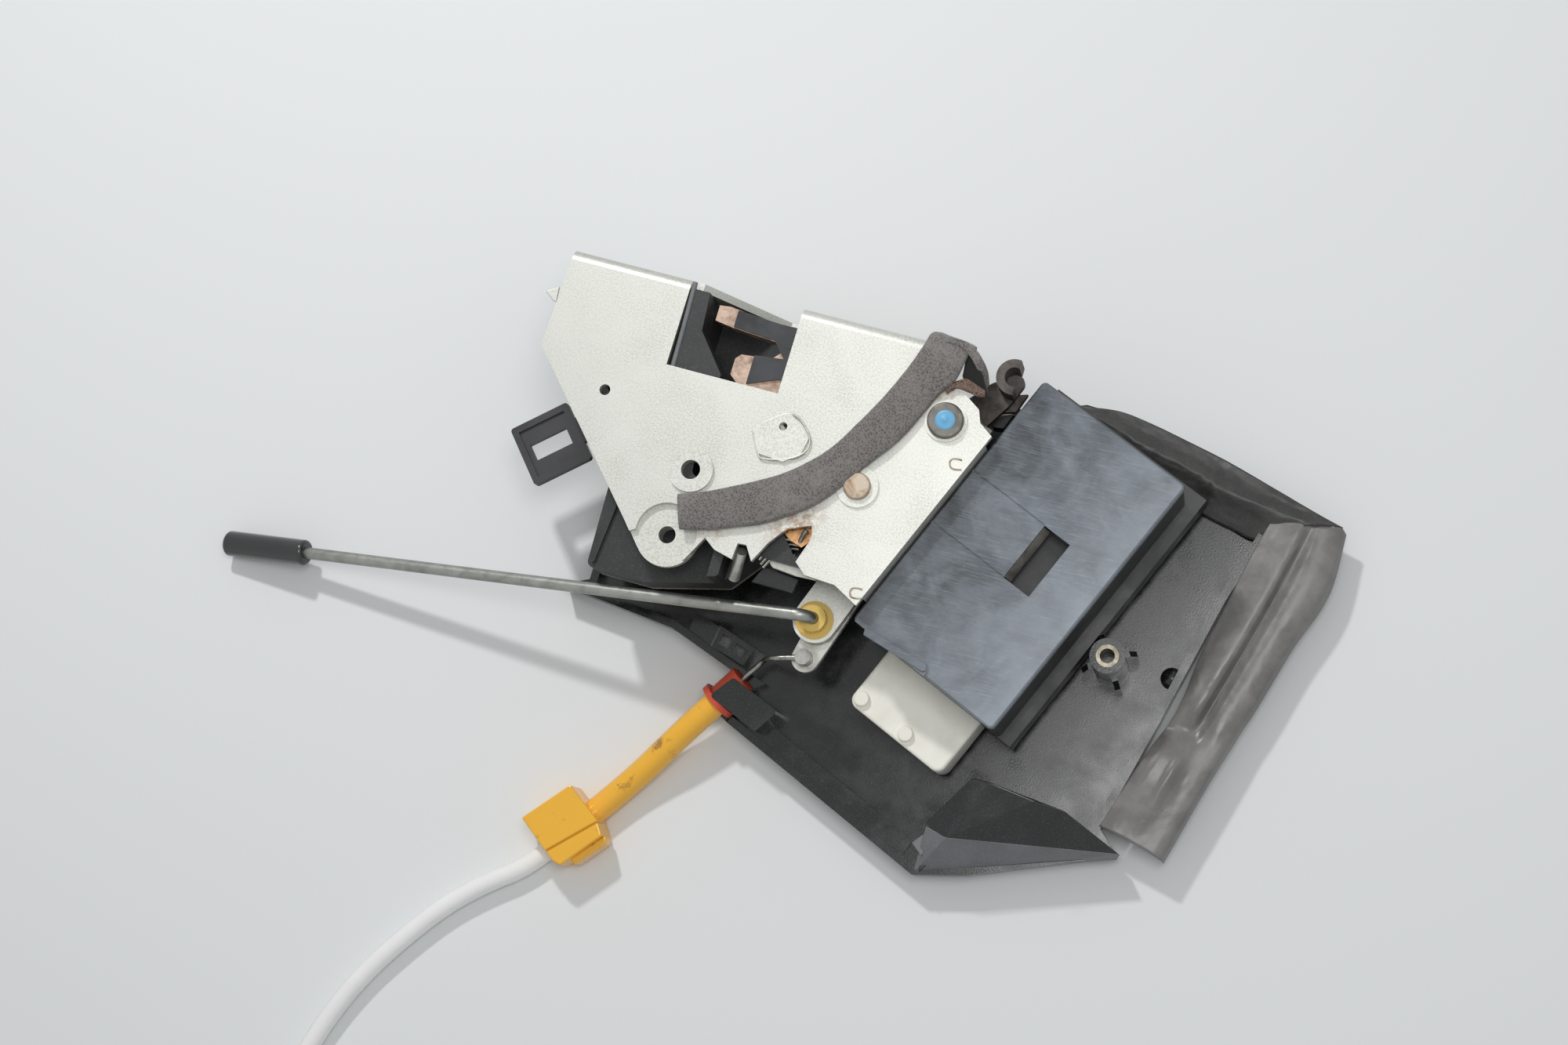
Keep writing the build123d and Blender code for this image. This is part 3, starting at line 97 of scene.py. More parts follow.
def area_lamp(name, at, aim, size, power, turn=0.0):
    """A soft rectangular lamp at a point, facing another point, turned about its own axis in degrees."""
    lamp = bpy.data.lights.new(name, "AREA")
    lamp.shape = "RECTANGLE"
    lamp.size, lamp.size_y = size
    lamp.energy = power
    holder = bpy.data.objects.new(name, lamp)
    facing = (Vector(aim) - Vector(at)).to_track_quat("-Z", "Y").to_matrix().to_4x4()
    holder.matrix_world = Matrix.Translation(at) @ facing @ Matrix.Rotation(math.radians(turn), 4, "Z")
    bpy.context.collection.objects.link(holder)


def linear(code):
    """An sRGB hex colour as linear light: each channel through the sRGB curve."""
    channels = np.array([int(code[i:i + 2], 16) for i in (1, 3, 5)]) / 255
    value = np.where(channels <= 0.04045, channels / 12.92, ((channels + 0.055) / 1.055) ** 2.4)
    return (*value.tolist(), 1.0)


def add(tree, kind, inputs=(), **settings):
    """A node with its settings, its values, and its links from other nodes' sockets."""
    made = tree.nodes.new(kind)
    for key, value in settings.items():
        setattr(made, key, value)
    for key, value in dict(inputs).items():
        if isinstance(value, bpy.types.NodeSocket):
            tree.links.new(value, made.inputs[key])
        else:
            made.inputs[key].default_value = value
    return made


def start_material(name):
    """An empty material with its shader and output joined: (material, tree, shader)."""
    material = bpy.data.materials.new(name)
    material.use_nodes = True
    tree = material.node_tree
    tree.nodes.clear()
    shader = add(tree, "ShaderNodeBsdfPrincipled")
    add(tree, "ShaderNodeOutputMaterial", {"Surface": shader.outputs[0]})
    return material, tree, shader


def noise(tree, size_mm, detail=3.0, rough=0.55, where=None, warp=0.0):
    """Cloudy pattern with lumps of a size in millimetres, over the piece's own coordinates."""
    if where is None:
        where = add(tree, "ShaderNodeTexCoord").outputs["Object"]
    made = add(tree, "ShaderNodeTexNoise", {"Vector": where, "Scale": 1000 / size_mm, "Detail": detail,
                                            "Roughness": rough, "Distortion": warp})
    return made.outputs[0]


def step_up(tree, value, low, high, top=1.0, bottom=0.0):
    """A value's run from low to high becomes a run from bottom to top, held outside it."""
    return add(tree, "ShaderNodeMapRange", {0: value, 1: low, 2: high, 3: bottom, 4: top}).outputs[0]


def mix(tree, factor, first, second):
    """Two colours mixed by a factor."""
    inputs = {0: factor, 6: first, 7: second}
    return add(tree, "ShaderNodeMix", inputs, data_type="RGBA").outputs[2]


def calculate(tree, way, first, second):
    """Two values joined by an operation such as MULTIPLY, ADD or MAXIMUM."""
    return add(tree, "ShaderNodeMath", {0: first, 1: second}, operation=way).outputs[0]


def bump(tree, shader, height, depth_mm):
    """Relief of a height pattern, as deep as a size in millimetres."""
    relief = add(tree, "ShaderNodeBump", {"Height": height, "Strength": 1.0, "Distance": depth_mm / 1000})
    tree.links.new(relief.outputs[0], shader.inputs["Normal"])


# Places on the face plate, in metres, where wet dirt has lain and rusted, each with its reach.
RUSTED = [((0.016, 0.012, 0.05), 0.012),
          ((0.047, 0.060, 0.05), 0.008),
          ((-0.006, 0.004, 0.05), 0.007)]
# Along the plate, in metres: painted shade greys the plate most at the first place and is gone by the second.
PAINTED_SHADE_DEEPEST_AT = -0.075
PAINTED_SHADE_ENDS_AT = 0.05


def zinc_sheet(name, base, speckle, stain, rust, shade):
    """Electro-zinced sheet steel, clear passivated: bright grey spangled with fine darker grains,
    with broad drying stains and a little rust where it has been handled; painted shade greys it
    towards one end."""
    material, tree, shader = start_material(name)
    fine = noise(tree, 0.5, 4.0, 0.7)
    cloud = noise(tree, 26.0, 4.0, 0.55, warp=0.4)
    drops = noise(tree, 6.5, 7.0, 0.7)
    share = step_up(tree, cloud, 0.3, 0.66, 0.9, 0.25)
    grains = calculate(tree, "MULTIPLY", step_up(tree, fine, 0.42, 0.62), share)
    colour = mix(tree, grains, linear(base), linear(speckle))
    colour = mix(tree, step_up(tree, cloud, 0.52, 0.74, 0.3), colour, linear(stain))
    colour = mix(tree, step_up(tree, drops, 0.7, 0.76, 0.7), colour, linear(rust))
    where = add(tree, "ShaderNodeTexCoord").outputs["Object"]
    along_plate = add(tree, "ShaderNodeSeparateXYZ", {0: where}).outputs[0]
    # Painted shade: the colour is mixed towards the shade grey at one end of the plate.
    painted_shade_share = step_up(tree, along_plate, PAINTED_SHADE_DEEPEST_AT, PAINTED_SHADE_ENDS_AT, 0.0, 0.45)
    colour = mix(tree, painted_shade_share, colour, linear(shade))
    speckled = step_up(tree, noise(tree, 2.2, 6.0, 0.75), 0.42, 0.6)
    for centre, reach in RUSTED:
        away = add(tree, "ShaderNodeVectorMath", {0: where, 1: centre}, operation="DISTANCE")
        near = step_up(tree, away.outputs["Value"], 0.3 * reach, reach, 0.0, 0.85)
        colour = mix(tree, calculate(tree, "MULTIPLY", near, speckled), colour, linear(rust))
    tree.links.new(colour, shader.inputs["Base Color"])
    tree.links.new(step_up(tree, fine, 0.3, 0.75, 0.36, 0.52), shader.inputs["Roughness"])
    shader.inputs["Metallic"].default_value = 0.62
    bump(tree, shader, fine, 0.015)
    return material


def bare_metal(name, base, dark, metallic, roughness, size_mm=0.9, depth_mm=0.02):
    """Cut or drawn metal: a dark film in patches over a brighter ground, with fine scoring."""
    material, tree, shader = start_material(name)
    patch = noise(tree, size_mm * 5, 5.0, 0.6, warp=0.5)
    fine = noise(tree, size_mm, 3.0)
    colour = mix(tree, step_up(tree, patch, 0.4, 0.66), linear(base), linear(dark))
    tree.links.new(colour, shader.inputs["Base Color"])
    dull = step_up(tree, fine, 0.3, 0.7, roughness + 0.1, roughness - 0.08)
    tree.links.new(dull, shader.inputs["Roughness"])
    shader.inputs["Metallic"].default_value = metallic
    bump(tree, shader, fine, depth_mm)
    return material


DUST_SPECK = "#9C9C9C"


def moulded(name, base, dusty, roughness, grain_mm, depth_mm, coat=0.0, dust=0.35, specks=0.0, stain=None):
    """Injection moulding: one colour through and through, a spark-eroded grain and a thin film of
    dust and scuffs that lies in clouds; where asked, bright specks half a millimetre wide, or stains."""
    material, tree, shader = start_material(name)
    grain = noise(tree, grain_mm, 2.0, 0.5)
    cloud = noise(tree, 11.0, 5.0, 0.6, warp=0.3)
    colour = mix(tree, step_up(tree, cloud, 0.42, 0.75, dust), linear(base), linear(dusty))
    if specks:
        points = noise(tree, 0.55, 3.0, 0.75)
        colour = mix(tree, step_up(tree, points, 0.54, 0.7, specks), colour, linear(DUST_SPECK))
    if stain:
        spots = noise(tree, 7.0, 6.0, 0.7)
        colour = mix(tree, step_up(tree, spots, 0.62, 0.7, 0.8), colour, linear(stain))
    tree.links.new(colour, shader.inputs["Base Color"])
    dull = step_up(tree, cloud, 0.35, 0.7, roughness + 0.12, roughness - 0.05)
    tree.links.new(dull, shader.inputs["Roughness"])
    shader.inputs["IOR"].default_value = 1.5
    shader.inputs["Coat Weight"].default_value = coat
    shader.inputs["Coat Roughness"].default_value = 0.12
    bump(tree, shader, grain, depth_mm)
    return material


# Across the cover, in metres, a painted reflection turns its colour from dark to pale between two places.
COVER_ACROSS = (math.cos(MODULE_TURN), math.sin(MODULE_TURN), 0.0)
COVER_REFLECTION_STARTS_AT = 0.05
COVER_REFLECTION_FULL_AT = 0.112
# Each set of scratches has its turn in radians and its length in millimetres.
SCRATCHES = [(0.5, 9.0), (1.9, 12.0), (2.7, 7.0)]
SCRATCH_STRETCH = 70


def polished_cover(name, dark, pale, smeared, scratched):
    """Polished PBT moulding that has been handled: glossy blue-grey, smeared in soft clouds and crossed
    by hairline scratches; a painted reflection makes it paler towards its outer edge and in broad clouds."""
    material, tree, shader = start_material(name)
    where = add(tree, "ShaderNodeTexCoord").outputs["Object"]
    cloud = noise(tree, 24.0, 5.0, 0.6, where, 1.2)
    smear = noise(tree, 13.0, 6.0, 0.6, where, 0.5)
    # Painted reflection: a ramp across the cover and broad clouds mix its dark colour towards the pale one.
    across = add(tree, "ShaderNodeVectorMath", {0: where, 1: COVER_ACROSS}, operation="DOT_PRODUCT")
    paler = step_up(tree, across.outputs["Value"], COVER_REFLECTION_STARTS_AT, COVER_REFLECTION_FULL_AT, 0.75)
    side = calculate(tree, "ADD", paler, step_up(tree, cloud, 0.3, 0.7, 0.45))
    scratches = 0.0
    for turn, length_mm in SCRATCHES:
        stretch = {"Vector": where, "Rotation": (0, 0, turn), "Scale": (1, SCRATCH_STRETCH, 1)}
        stretched = add(tree, "ShaderNodeMapping", stretch).outputs[0]
        lines = step_up(tree, noise(tree, length_mm, 2.0, 0.5, stretched), 0.62, 0.72)
        scratches = calculate(tree, "MAXIMUM", scratches, lines)
    colour = mix(tree, side, linear(dark), linear(pale))
    colour = mix(tree, step_up(tree, smear, 0.42, 0.7, 0.35), colour, linear(smeared))
    colour = mix(tree, step_up(tree, scratches, 0.0, 1.0, 0.2), colour, linear(scratched))
    tree.links.new(colour, shader.inputs["Base Color"])
    tree.links.new(step_up(tree, smear, 0.3, 0.75, 0.34, 0.14), shader.inputs["Roughness"])
    shader.inputs["IOR"].default_value = 1.6
    bump(tree, shader, scratches, -0.004)
    return material


def cell_foam(name, light, dark, worn):
    """Closed-cell foam, skived: dark open cells half a millimetre across between paler walls, matt,
    worn paler in patches."""
    cell_mm = 0.55
    material, tree, shader = start_material(name)
    where = add(tree, "ShaderNodeTexCoord").outputs["Object"]
    cells = add(tree, "ShaderNodeTexVoronoi", {"Vector": where, "Scale": 1000 / cell_mm}).outputs[0]
    cloud = noise(tree, 9.0, 5.0, 0.65)
    pits = step_up(tree, cells, 0.15, 0.55)
    colour = mix(tree, pits, linear(dark), linear(light))
    colour = mix(tree, step_up(tree, cloud, 0.48, 0.7, 0.55), colour, linear(worn))
    tree.links.new(colour, shader.inputs["Base Color"])
    shader.inputs["Roughness"].default_value = 0.95
    shader.inputs["Sheen Weight"].default_value = 0.25
    bump(tree, shader, pits, 0.07)
    return material


def flat_stage(name, code):
    """The floor's finish: one matt colour."""
    material, tree, shader = start_material(name)
    shader.inputs["Base Color"].default_value = linear(code)
    shader.inputs["Roughness"].default_value = 0.9
    shader.inputs["Specular IOR Level"].default_value = 0.1
    return material


MATERIAL = {
    # The zinc sheet's last colour is the grey of its painted shade.
    "zinc_sheet": zinc_sheet("zinc_plated_sheet", "#D9D9D2", "#ABABA4", "#C3BFAF", "#93745A", "#A4A6A0"),
    "plated_steel": bare_metal("zinc_plated_steel", "#C4C4BE", "#97958D", 0.7, 0.36),
    "dark_steel": bare_metal("phosphated_steel_rusty", "#5B5450", "#332C28", 0.35, 0.55, 1.1, 0.05),
    "bare_steel": bare_metal("spring_steel_wire", "#9A9A96", "#6E6C66", 0.9, 0.34),
    "latch_steel": bare_metal("case_hardened_steel", "#BFA797", "#86705F", 0.7, 0.36),
    "rivet": bare_metal("rusted_rivet_steel", "#BBAE9C", "#8C6F55", 0.6, 0.5, 0.7, 0.05),
    "black_moulding": moulded("glass_filled_polyamide_black", "#161718", "#3A3B3D", 0.42, 0.5, 0.02,
                              specks=0.12),
    "jacket": moulded("polyester_elastomer_jacket", "#202124", "#50525A", 0.36, 0.6, 0.03),
    "window_clip": moulded("polyamide_clip_black", "#2A2A2C", "#47474A", 0.42, 0.7, 0.02),
    "charcoal": moulded("grained_polypropylene_charcoal", "#141516", "#262729", 0.16, 0.5, 0.012,
                        specks=0.12),
    "warm_grey": moulded("soft_elastomer_warm_grey", "#6F6D6B", "#989694", 0.3, 0.8, 0.02,
                         dust=0.6, specks=0.1),
    "film": moulded("soft_elastomer_dark_grey", "#2F2E2D", "#4E4C4B", 0.4, 1.0, 0.02,
                    dust=0.5, specks=0.12),
    # The cover's pale colour is its painted reflection.
    "cover": polished_cover("polished_polyester_blue_grey", "#2B3035", "#87909A", "#8E98A2", "#C3CBD2"),
    "box": moulded("polyester_case_dark_grey", "#1F2021", "#3B3C3E", 0.4, 0.6, 0.015),
    "ivory": moulded("polyamide_ivory", "#F7F5EA", "#E4E0CC", 0.42, 0.8, 0.01, dust=0.6),
    "blue": moulded("paint_dab_blue", "#6CB1DA", "#4E8FBC", 0.4, 0.9, 0.01),
    "brass": bare_metal("tarnished_brass", "#A79E8C", "#5E574B", 0.7, 0.42),
    "gear": moulded("natural_acetal", "#EAE6D6", "#D9D3BC", 0.35, 0.8, 0.005),
    "worm": bare_metal("machined_brass", "#D2AA62", "#A07A3E", 0.95, 0.25),
    "motor": bare_metal("drawn_steel_can", "#A9A8A3", "#85847F", 0.85, 0.35),
    "rod": bare_metal("zinc_plated_rod", "#9FA09C", "#858680", 0.8, 0.36, 1.6, 0.01),
    "rod_sleeve": moulded("extruded_pvc_black", "#101314", "#2C3134", 0.16, 2.0, 0.01,
                          coat=0.6, dust=0.2),
    "bushing": moulded("nylon_amber", "#E6C465", "#C99F3C", 0.3, 0.9, 0.01),
    "yellow": moulded("soft_pvc_yellow", "#F6B82C", "#E8A81F", 0.26, 1.2, 0.015,
                      coat=0.4, stain="#8F6420"),
    "red": moulded("polyamide_red", "#D24D30", "#A83A25", 0.38, 0.9, 0.01),
    "foam": cell_foam("skived_epdm_foam", "#7C7875", "#4A4745", "#928E8A"),
    "foam_core": cell_foam("torn_foam_core", "#7D685A", "#43362E", "#8A7769"),
    "conduit": moulded("polyamide_white_conduit", "#F4F4F2", "#E2E3E2", 0.25, 1.5, 0.005, coat=0.3),
    "dark_rim": bare_metal("blackened_steel_head", "#77746E", "#55514C", 0.5, 0.45),
    # Near-black foam: painted shadow, for the block in the gap at the foam's far end.
    "foam_shade": cell_foam("painted_shadow_foam", "#141312", "#090808", "#1B1A19"),
    # A paler, lit copy of the charcoal moulding: painted light on the faces that wear it.
    "charcoal_painted_light": moulded("charcoal_polypropylene_painted_light", "#68696C", "#8A8B8E", 0.34, 0.5, 0.03,
                             specks=0.4),
    "copper": bare_metal("copper_plated_steel", "#D9A878", "#A97A52", 0.9, 0.32),
}
# The record's slot for each finish that isn't a slot itself, and the finish of each solid that
# doesn't wear its slot's own.
FINISH_OF = {"connector_studs": "ivory", "release_pivot_rivet": "dark_rim", "stop_pin": "plated_steel"}
record_slots = {entry["node"]: entry["material_slot"] for entry in frame["record"]["subparts"]}
for name, solid in node.items():
    solid.data.materials.clear()
    solid.data.materials.append(MATERIAL[FINISH_OF.get(name, record_slots[name])])


# Making pieces.
WELD = 1e-7
BEVEL_STEPS = 3


def link_piece(name, data, slot):
    """A mesh or curve as an object at the origin, in its finish, riding on the fixed body."""
    piece = bpy.data.objects.new(name, data)
    bpy.context.collection.objects.link(piece)
    data.materials.append(MATERIAL[slot])
    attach(piece, "frame")
    return piece


def loop_faces(rows, columns):
    """Four-cornered faces of a grid of points whose rows are closed loops."""
    i = np.arange(rows - 1)[:, None]
    j = np.arange(columns)[None, :]
    down = i + 1
    right = (j + 1) % columns
    corners = [i * columns + j, i * columns + right, down * columns + right, down * columns + j]
    return np.stack(np.broadcast_arrays(*corners), -1).reshape(-1, 4)


def face_outward(mesh):
    """Joins the corners that lie together and turns every face outward."""
    tidy = bmesh.new()
    tidy.from_mesh(mesh)
    bmesh.ops.remove_doubles(tidy, verts=tidy.verts, dist=WELD)
    bmesh.ops.recalc_face_normals(tidy, faces=tidy.faces)
    tidy.to_mesh(mesh)
    tidy.free()


def surface(name, points, slot, caps=False):
    """A grid of points in metres as a smooth piece, each row a loop; caps close the end rows."""
    rows, columns = points.shape[:2]
    faces = loop_faces(rows, columns).tolist()
    if caps:
        faces.append(list(range(columns))[::-1])
        faces.append([(rows - 1) * columns + k for k in range(columns)])
    mesh = bpy.data.meshes.new(name)
    mesh.from_pydata(points.reshape(-1, 3).tolist(), [], faces)
    face_outward(mesh)
    mesh.shade_smooth()
    return link_piece(name, mesh, slot)


def turned(name, centre, profile, slot, count=48):
    """A lathed piece: each (radius, height) of the profile goes round the centre in a full turn."""
    profile = np.asarray(profile, float)
    angle = np.linspace(0, 2 * math.pi, count, endpoint=False)
    x = centre[0] + profile[:, :1] * np.cos(angle)
    y = centre[1] + profile[:, :1] * np.sin(angle)
    z = np.broadcast_to(profile[:, 1:], x.shape)
    return surface(name, latch(np.stack([x, y, z], -1)), slot)


def round_edges(piece, bevel_mm):
    """Rounds a block's edges by a bevel of a width in millimetres."""
    rounding = piece.modifiers.new("rounded", "BEVEL")
    rounding.width = bevel_mm / 1000
    rounding.segments = BEVEL_STEPS


def slab(name, outline, low, high, slot, place=plain, bevel_mm=0.25):
    """A flat piece of constant thickness: the outline at two levels, its edges rounded if asked."""
    outline = np.asarray(outline, float)
    count = len(outline)
    levels = [np.column_stack([outline, np.full(count, z)]) for z in (low, high)]
    mesh = bpy.data.meshes.new(name)
    sides = [[k, (k + 1) % count, (k + 1) % count + count, k + count] for k in range(count)]
    faces = [list(range(count))[::-1], [k + count for k in range(count)]] + sides
    mesh.from_pydata(place(np.concatenate(levels)).tolist(), [], faces)
    face_outward(mesh)
    piece = link_piece(name, mesh, slot)
    if bevel_mm:
        round_edges(piece, bevel_mm)
    return piece


def hulled(name, points, slot, place=plain, bevel_mm=0.3):
    """A convex block: the hull of its corner points, its edges rounded."""
    mesh = bpy.data.meshes.new(name)
    block = bmesh.new()
    for point in place(points):
        block.verts.new(point)
    made = bmesh.ops.convex_hull(block, input=block.verts)
    left_over = made["geom_interior"] + made["geom_unused"]
    inner = {item for item in left_over if isinstance(item, bmesh.types.BMVert)}
    bmesh.ops.delete(block, geom=list(inner), context="VERTS")
    bmesh.ops.dissolve_limit(block, angle_limit=0.02, verts=block.verts, edges=block.edges)
    bmesh.ops.recalc_face_normals(block, faces=block.faces)
    block.to_mesh(mesh)
    block.free()
    piece = link_piece(name, mesh, slot)
    round_edges(piece, bevel_mm)
    return piece


def prism(outline, low, high):
    """Corner points of an upright block: its plan outline at two heights."""
    return [(x, y, z) for z in (low, high) for x, y in outline]


def heights(line, levels):
    """A line's plan points with its heights."""
    return [(x, y, z) for (x, y), z in zip(line, levels)]


def cord_curve(name, points, diameter_mm, slot, place=latch):
    """A round cord along a NURBS line whose control points are the route's points."""
    curve = bpy.data.curves.new(name, "CURVE")
    curve.dimensions = "3D"
    line = curve.splines.new("NURBS")
    line.points.add(len(points) - 1)
    for control, spot in zip(line.points, place(points)):
        control.co = (*spot, 1.0)
    line.order_u = 3
    line.use_endpoint_u = True
    line.resolution_u = 12
    curve.bevel_depth = diameter_mm / 2 / 1000
    curve.bevel_resolution = 6
    curve.use_fill_caps = True
    return link_piece(name, curve, slot)


make_camera()

# Release cable.
CONDUIT_DIAMETER = 5.8
CABLE_SLEEVE_DIAMETER = 7.8
CORD_GAP = 0.1
ON_FLOOR = CONDUIT_DIAMETER / 2 + CORD_GAP
SLEEVE_ON_FLOOR = CABLE_SLEEVE_DIAMETER / 2 + CORD_GAP
SLEEVE_ROUTE = [(5.8, -72.6, 11.0), (-1.0, -82.7, 9.6), (-8.5, -94.6, 6.0),
                (-15.8, -105.5, SLEEVE_ON_FLOOR), (-22.6, -115.2, SLEEVE_ON_FLOOR)]
clip_away = np.subtract(SLEEVE_ROUTE[-1], SLEEVE_ROUTE[-2])
clip_away /= np.linalg.norm(clip_away)
CLIP_LENGTH = 15.0
CONDUIT_STRAIGHT = 9.4
clip_far = np.array(SLEEVE_ROUTE[-1]) + clip_away * CLIP_LENGTH
conduit_free = clip_far + clip_away * CONDUIT_STRAIGHT
COIL_RADIUS = 33.0
COIL_STUB = 30.0
COIL_ENTRY = (-89.0, -260.0)
COIL_CENTRE = (COIL_ENTRY[0] - COIL_RADIUS, COIL_ENTRY[1] - COIL_STUB)
CONDUIT_ROUTE = [(clip_far[0], clip_far[1], ON_FLOOR),
                 (conduit_free[0], conduit_free[1], ON_FLOOR),
                 (-46.4, -142.6, ON_FLOOR), (-57.0, -152.6, ON_FLOOR), (-66.6, -165.6, ON_FLOOR),
                 (-76.6, -181.6, ON_FLOOR), (-84.2, -201.0, ON_FLOOR), (-88.2, -221.5, ON_FLOOR),
                 (COIL_ENTRY[0], COIL_ENTRY[1], ON_FLOOR)]


# The coil, in degrees from its entry. Its control points stand outside the ring that they make.
COIL_TURNS = (15, 526)
COIL_STEP = 22.5
CLIMB_FROM = 262
CLIMB_OVER = 62
CONTROL_SWELL = 1.02


def coil_points():
    """One and a half turns of coil: control points round a circle, on the floor until the cord nears
    its own start, then raised by a smooth step onto the first turn, then down along the way out."""
    degrees = np.arange(*COIL_TURNS, COIL_STEP)
    turn = np.radians(degrees)
    lift = CONDUIT_DIAMETER + CORD_GAP
    rise = np.clip((degrees - CLIMB_FROM) / CLIMB_OVER, 0, 1)
    height = ON_FLOOR + lift * rise * rise * (3 - 2 * rise)
    radius = COIL_RADIUS * CONTROL_SWELL
    x = COIL_CENTRE[0] + radius * np.cos(turn)
    y = COIL_CENTRE[1] - radius * np.sin(turn)
    ring = np.stack([x, y, height], -1)
    out = COIL_CENTRE[0] - COIL_RADIUS
    top = ON_FLOOR + lift
    way_out = [(5, top), (13, top), (24, ON_FLOOR + 1.0), (COIL_STUB, ON_FLOOR)]
    return ring.tolist() + [(out, COIL_CENTRE[1] + run, level) for run, level in way_out]


# The clip's outlines, in the frame's millimetres, with the levels they stand between.
CLIP_FOOT = 0.2
CLIP_TOP = 13.0
LID_TOP = 12.2
TAB_LEVELS = (3.0, 10.0)
CLIP_UPPER = [(-44.6, -91.1), (-33.3, -77.6), (-22.0, -85.4), (-34.7, -98.3)]
CLIP_LOWER = [(-22.3, -85.4), (-19.6, -89.2), (-26.7, -98.0), (-29.2, -101.2), (-31.9, -100.5),
              (-34.9, -98.3)]
CLIP_TAB = [(-27.4, -98.4), (-19.4, -89.0), (-18.3, -90.1), (-18.8, -91.7), (-25.5, -99.7)]
clip_pieces = [hulled("clip_body", prism(CLIP_UPPER, CLIP_FOOT, CLIP_TOP), "yellow", bevel_mm=0.5),
               hulled("clip_lid", prism(CLIP_LOWER, CLIP_FOOT, LID_TOP), "yellow", bevel_mm=0.6),
               hulled("clip_latch", prism(CLIP_TAB, *TAB_LEVELS), "yellow", bevel_mm=0.5)]
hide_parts("cable_clip")
sleeve = cord_curve("release_cable_sleeve", SLEEVE_ROUTE, CABLE_SLEEVE_DIAMETER, "yellow")
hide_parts("cable_sleeve")
conduit = cord_curve("release_cable_conduit", CONDUIT_ROUTE + coil_points(), CONDUIT_DIAMETER, "conduit")
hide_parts("cable_conduit", "cable_coil")


# Soft pieces: foam seal, side apron, rear wall.
def along(stations, count):
    """Rows between stations, evenly by distance along the first column: each column is a smooth
    cubic through its stations, with slopes from the stations on either side."""
    stations = np.asarray(stations, float)
    step = np.linalg.norm(np.diff(stations[:, :3], axis=0), axis=1)
    at = np.concatenate([[0], np.cumsum(step)])
    slope = np.gradient(stations, at, axis=0)
    run = np.linspace(0, at[-1], count)
    before = np.clip(np.searchsorted(at, run, side="right") - 1, 0, len(at) - 2)
    after = before + 1
    gap = (at[after] - at[before])[:, None]
    part = ((run - at[before])[:, None]) / gap
    return (stations[before] * (1 + 2 * part) * (1 - part) ** 2
            + slope[before] * gap * part * (1 - part) ** 2
            + stations[after] * part * part * (3 - 2 * part)
            + slope[after] * gap * part * part * (part - 1))


def waves(rows, columns, seed):
    """Random heights, smoothed along and across by a bell nine stations wide."""
    height = np.random.default_rng(seed).normal(size=(rows, columns))
    bell = np.exp(-np.linspace(-2, 2, 9) ** 2)
    for axis in (0, 1):
        height = np.apply_along_axis(lambda row: np.convolve(row, bell / bell.sum(), "same"), axis, height)
    return height


def draped(name, lines, thickness, slot, rows, columns, ripple, seed):
    """A soft sheet through lines that lie side by side: a cubic along each line, a cubic from line to
    line, smoothed heights on its upper side, its lower side a thickness below."""
    lines = np.asarray(lines, float)
    count, stations = lines.shape[:2]
    ran = along(lines.transpose(1, 0, 2).reshape(stations, count * 3), rows).reshape(rows, count, 3)
    top = np.stack([along(row, columns) for row in ran])
    lower = top - (0, 0, thickness)
    top[..., 2] += ripple * waves(rows, columns, seed)
    return surface(name, plain(np.concatenate([top, lower[:, ::-1]], axis=1)), slot, caps=True)


# Points round a strip's section, and the powers that round its two ends and its two faces.
SECTION_POINTS = 64
END_ROUND = 0.6
FACE_ROUND = 0.5
UP = (0, 0, 1.0)


def ribbon(name, near, far, outward, thickness, slot, place, rows, ripple, crown=0.0, seed=3):
    """A strip between two edges: each row is a flat loop from the near edge to the far one and back,
    as thick as asked along the outward direction, with superellipse ends; its upper side is raised
    by half a sine wave across it, the crown, and by smoothed random heights, the ripple."""
    near, far, outward = np.split(along(np.hstack([near, far, outward]), rows), 3, axis=1)
    outward /= np.linalg.norm(outward, axis=1)[:, None]
    turn = np.linspace(0, 2 * math.pi, SECTION_POINTS, endpoint=False)
    level, upright = np.cos(turn), np.sin(turn)
    across = 0.5 - 0.5 * np.sign(level) * np.abs(level) ** END_ROUND
    height = 0.5 + 0.5 * np.sign(upright) * np.abs(upright) ** FACE_ROUND
    upper = (height > 0.5) * 1.0
    lift = thickness * height + upper * crown * np.sin(math.pi * across)
    lift = lift + ripple * upper * waves(rows, SECTION_POINTS, seed)
    span = across[None, :, None] * (far - near)[:, None, :]
    points = near[:, None, :] + span + lift[:, :, None] * outward[:, None, :]
    return surface(name, place(points), slot, caps=True)


PLATE_TOP = 52.0
FOAM_NEAR = heights([(-13.1, -20.8), (-4.6, -17.6), (0.6, -15.0), (7.5, -11.4), (14.7, -7.0), (20.0, -2.6),
                     (24.9, 2.5), (30.8, 12.0), (36.8, 23.4), (40.2, 31.5), (42.6, 38.4), (43.2, 41.4),
                     (43.4, 41.6), (43.6, 41.6)], [PLATE_TOP] * 11 + [50.6, 48.6, 46.8])
FOAM_FAR = heights([(-9.6, -30.4), (0.0, -27.8), (6.0, -25.4), (11.8, -23.1), (18.4, -19.1), (24.6, -14.6),
                    (29.0, -10.0), (37.2, 1.6), (45.0, 13.0), (50.6, 25.5), (54.6, 32.6), (55.6, 38.8),
                    (56.0, 40.4), (56.2, 40.8)], [PLATE_TOP] * 11 + [51.6, 48.8, 46.8])
FOAM_OUT = [UP] * 10 + [(0, 0.12, 1.0), (0.05, 0.7, 0.7), (0.1, 1.0, 0.1), (0.1, 1.0, 0.0)]
foam = ribbon("foam_strip", FOAM_NEAR, FOAM_FAR, FOAM_OUT, thickness=2.9, slot="foam", place=latch,
              rows=150, ripple=0.35, crown=0.25)
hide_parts("foam_seal")

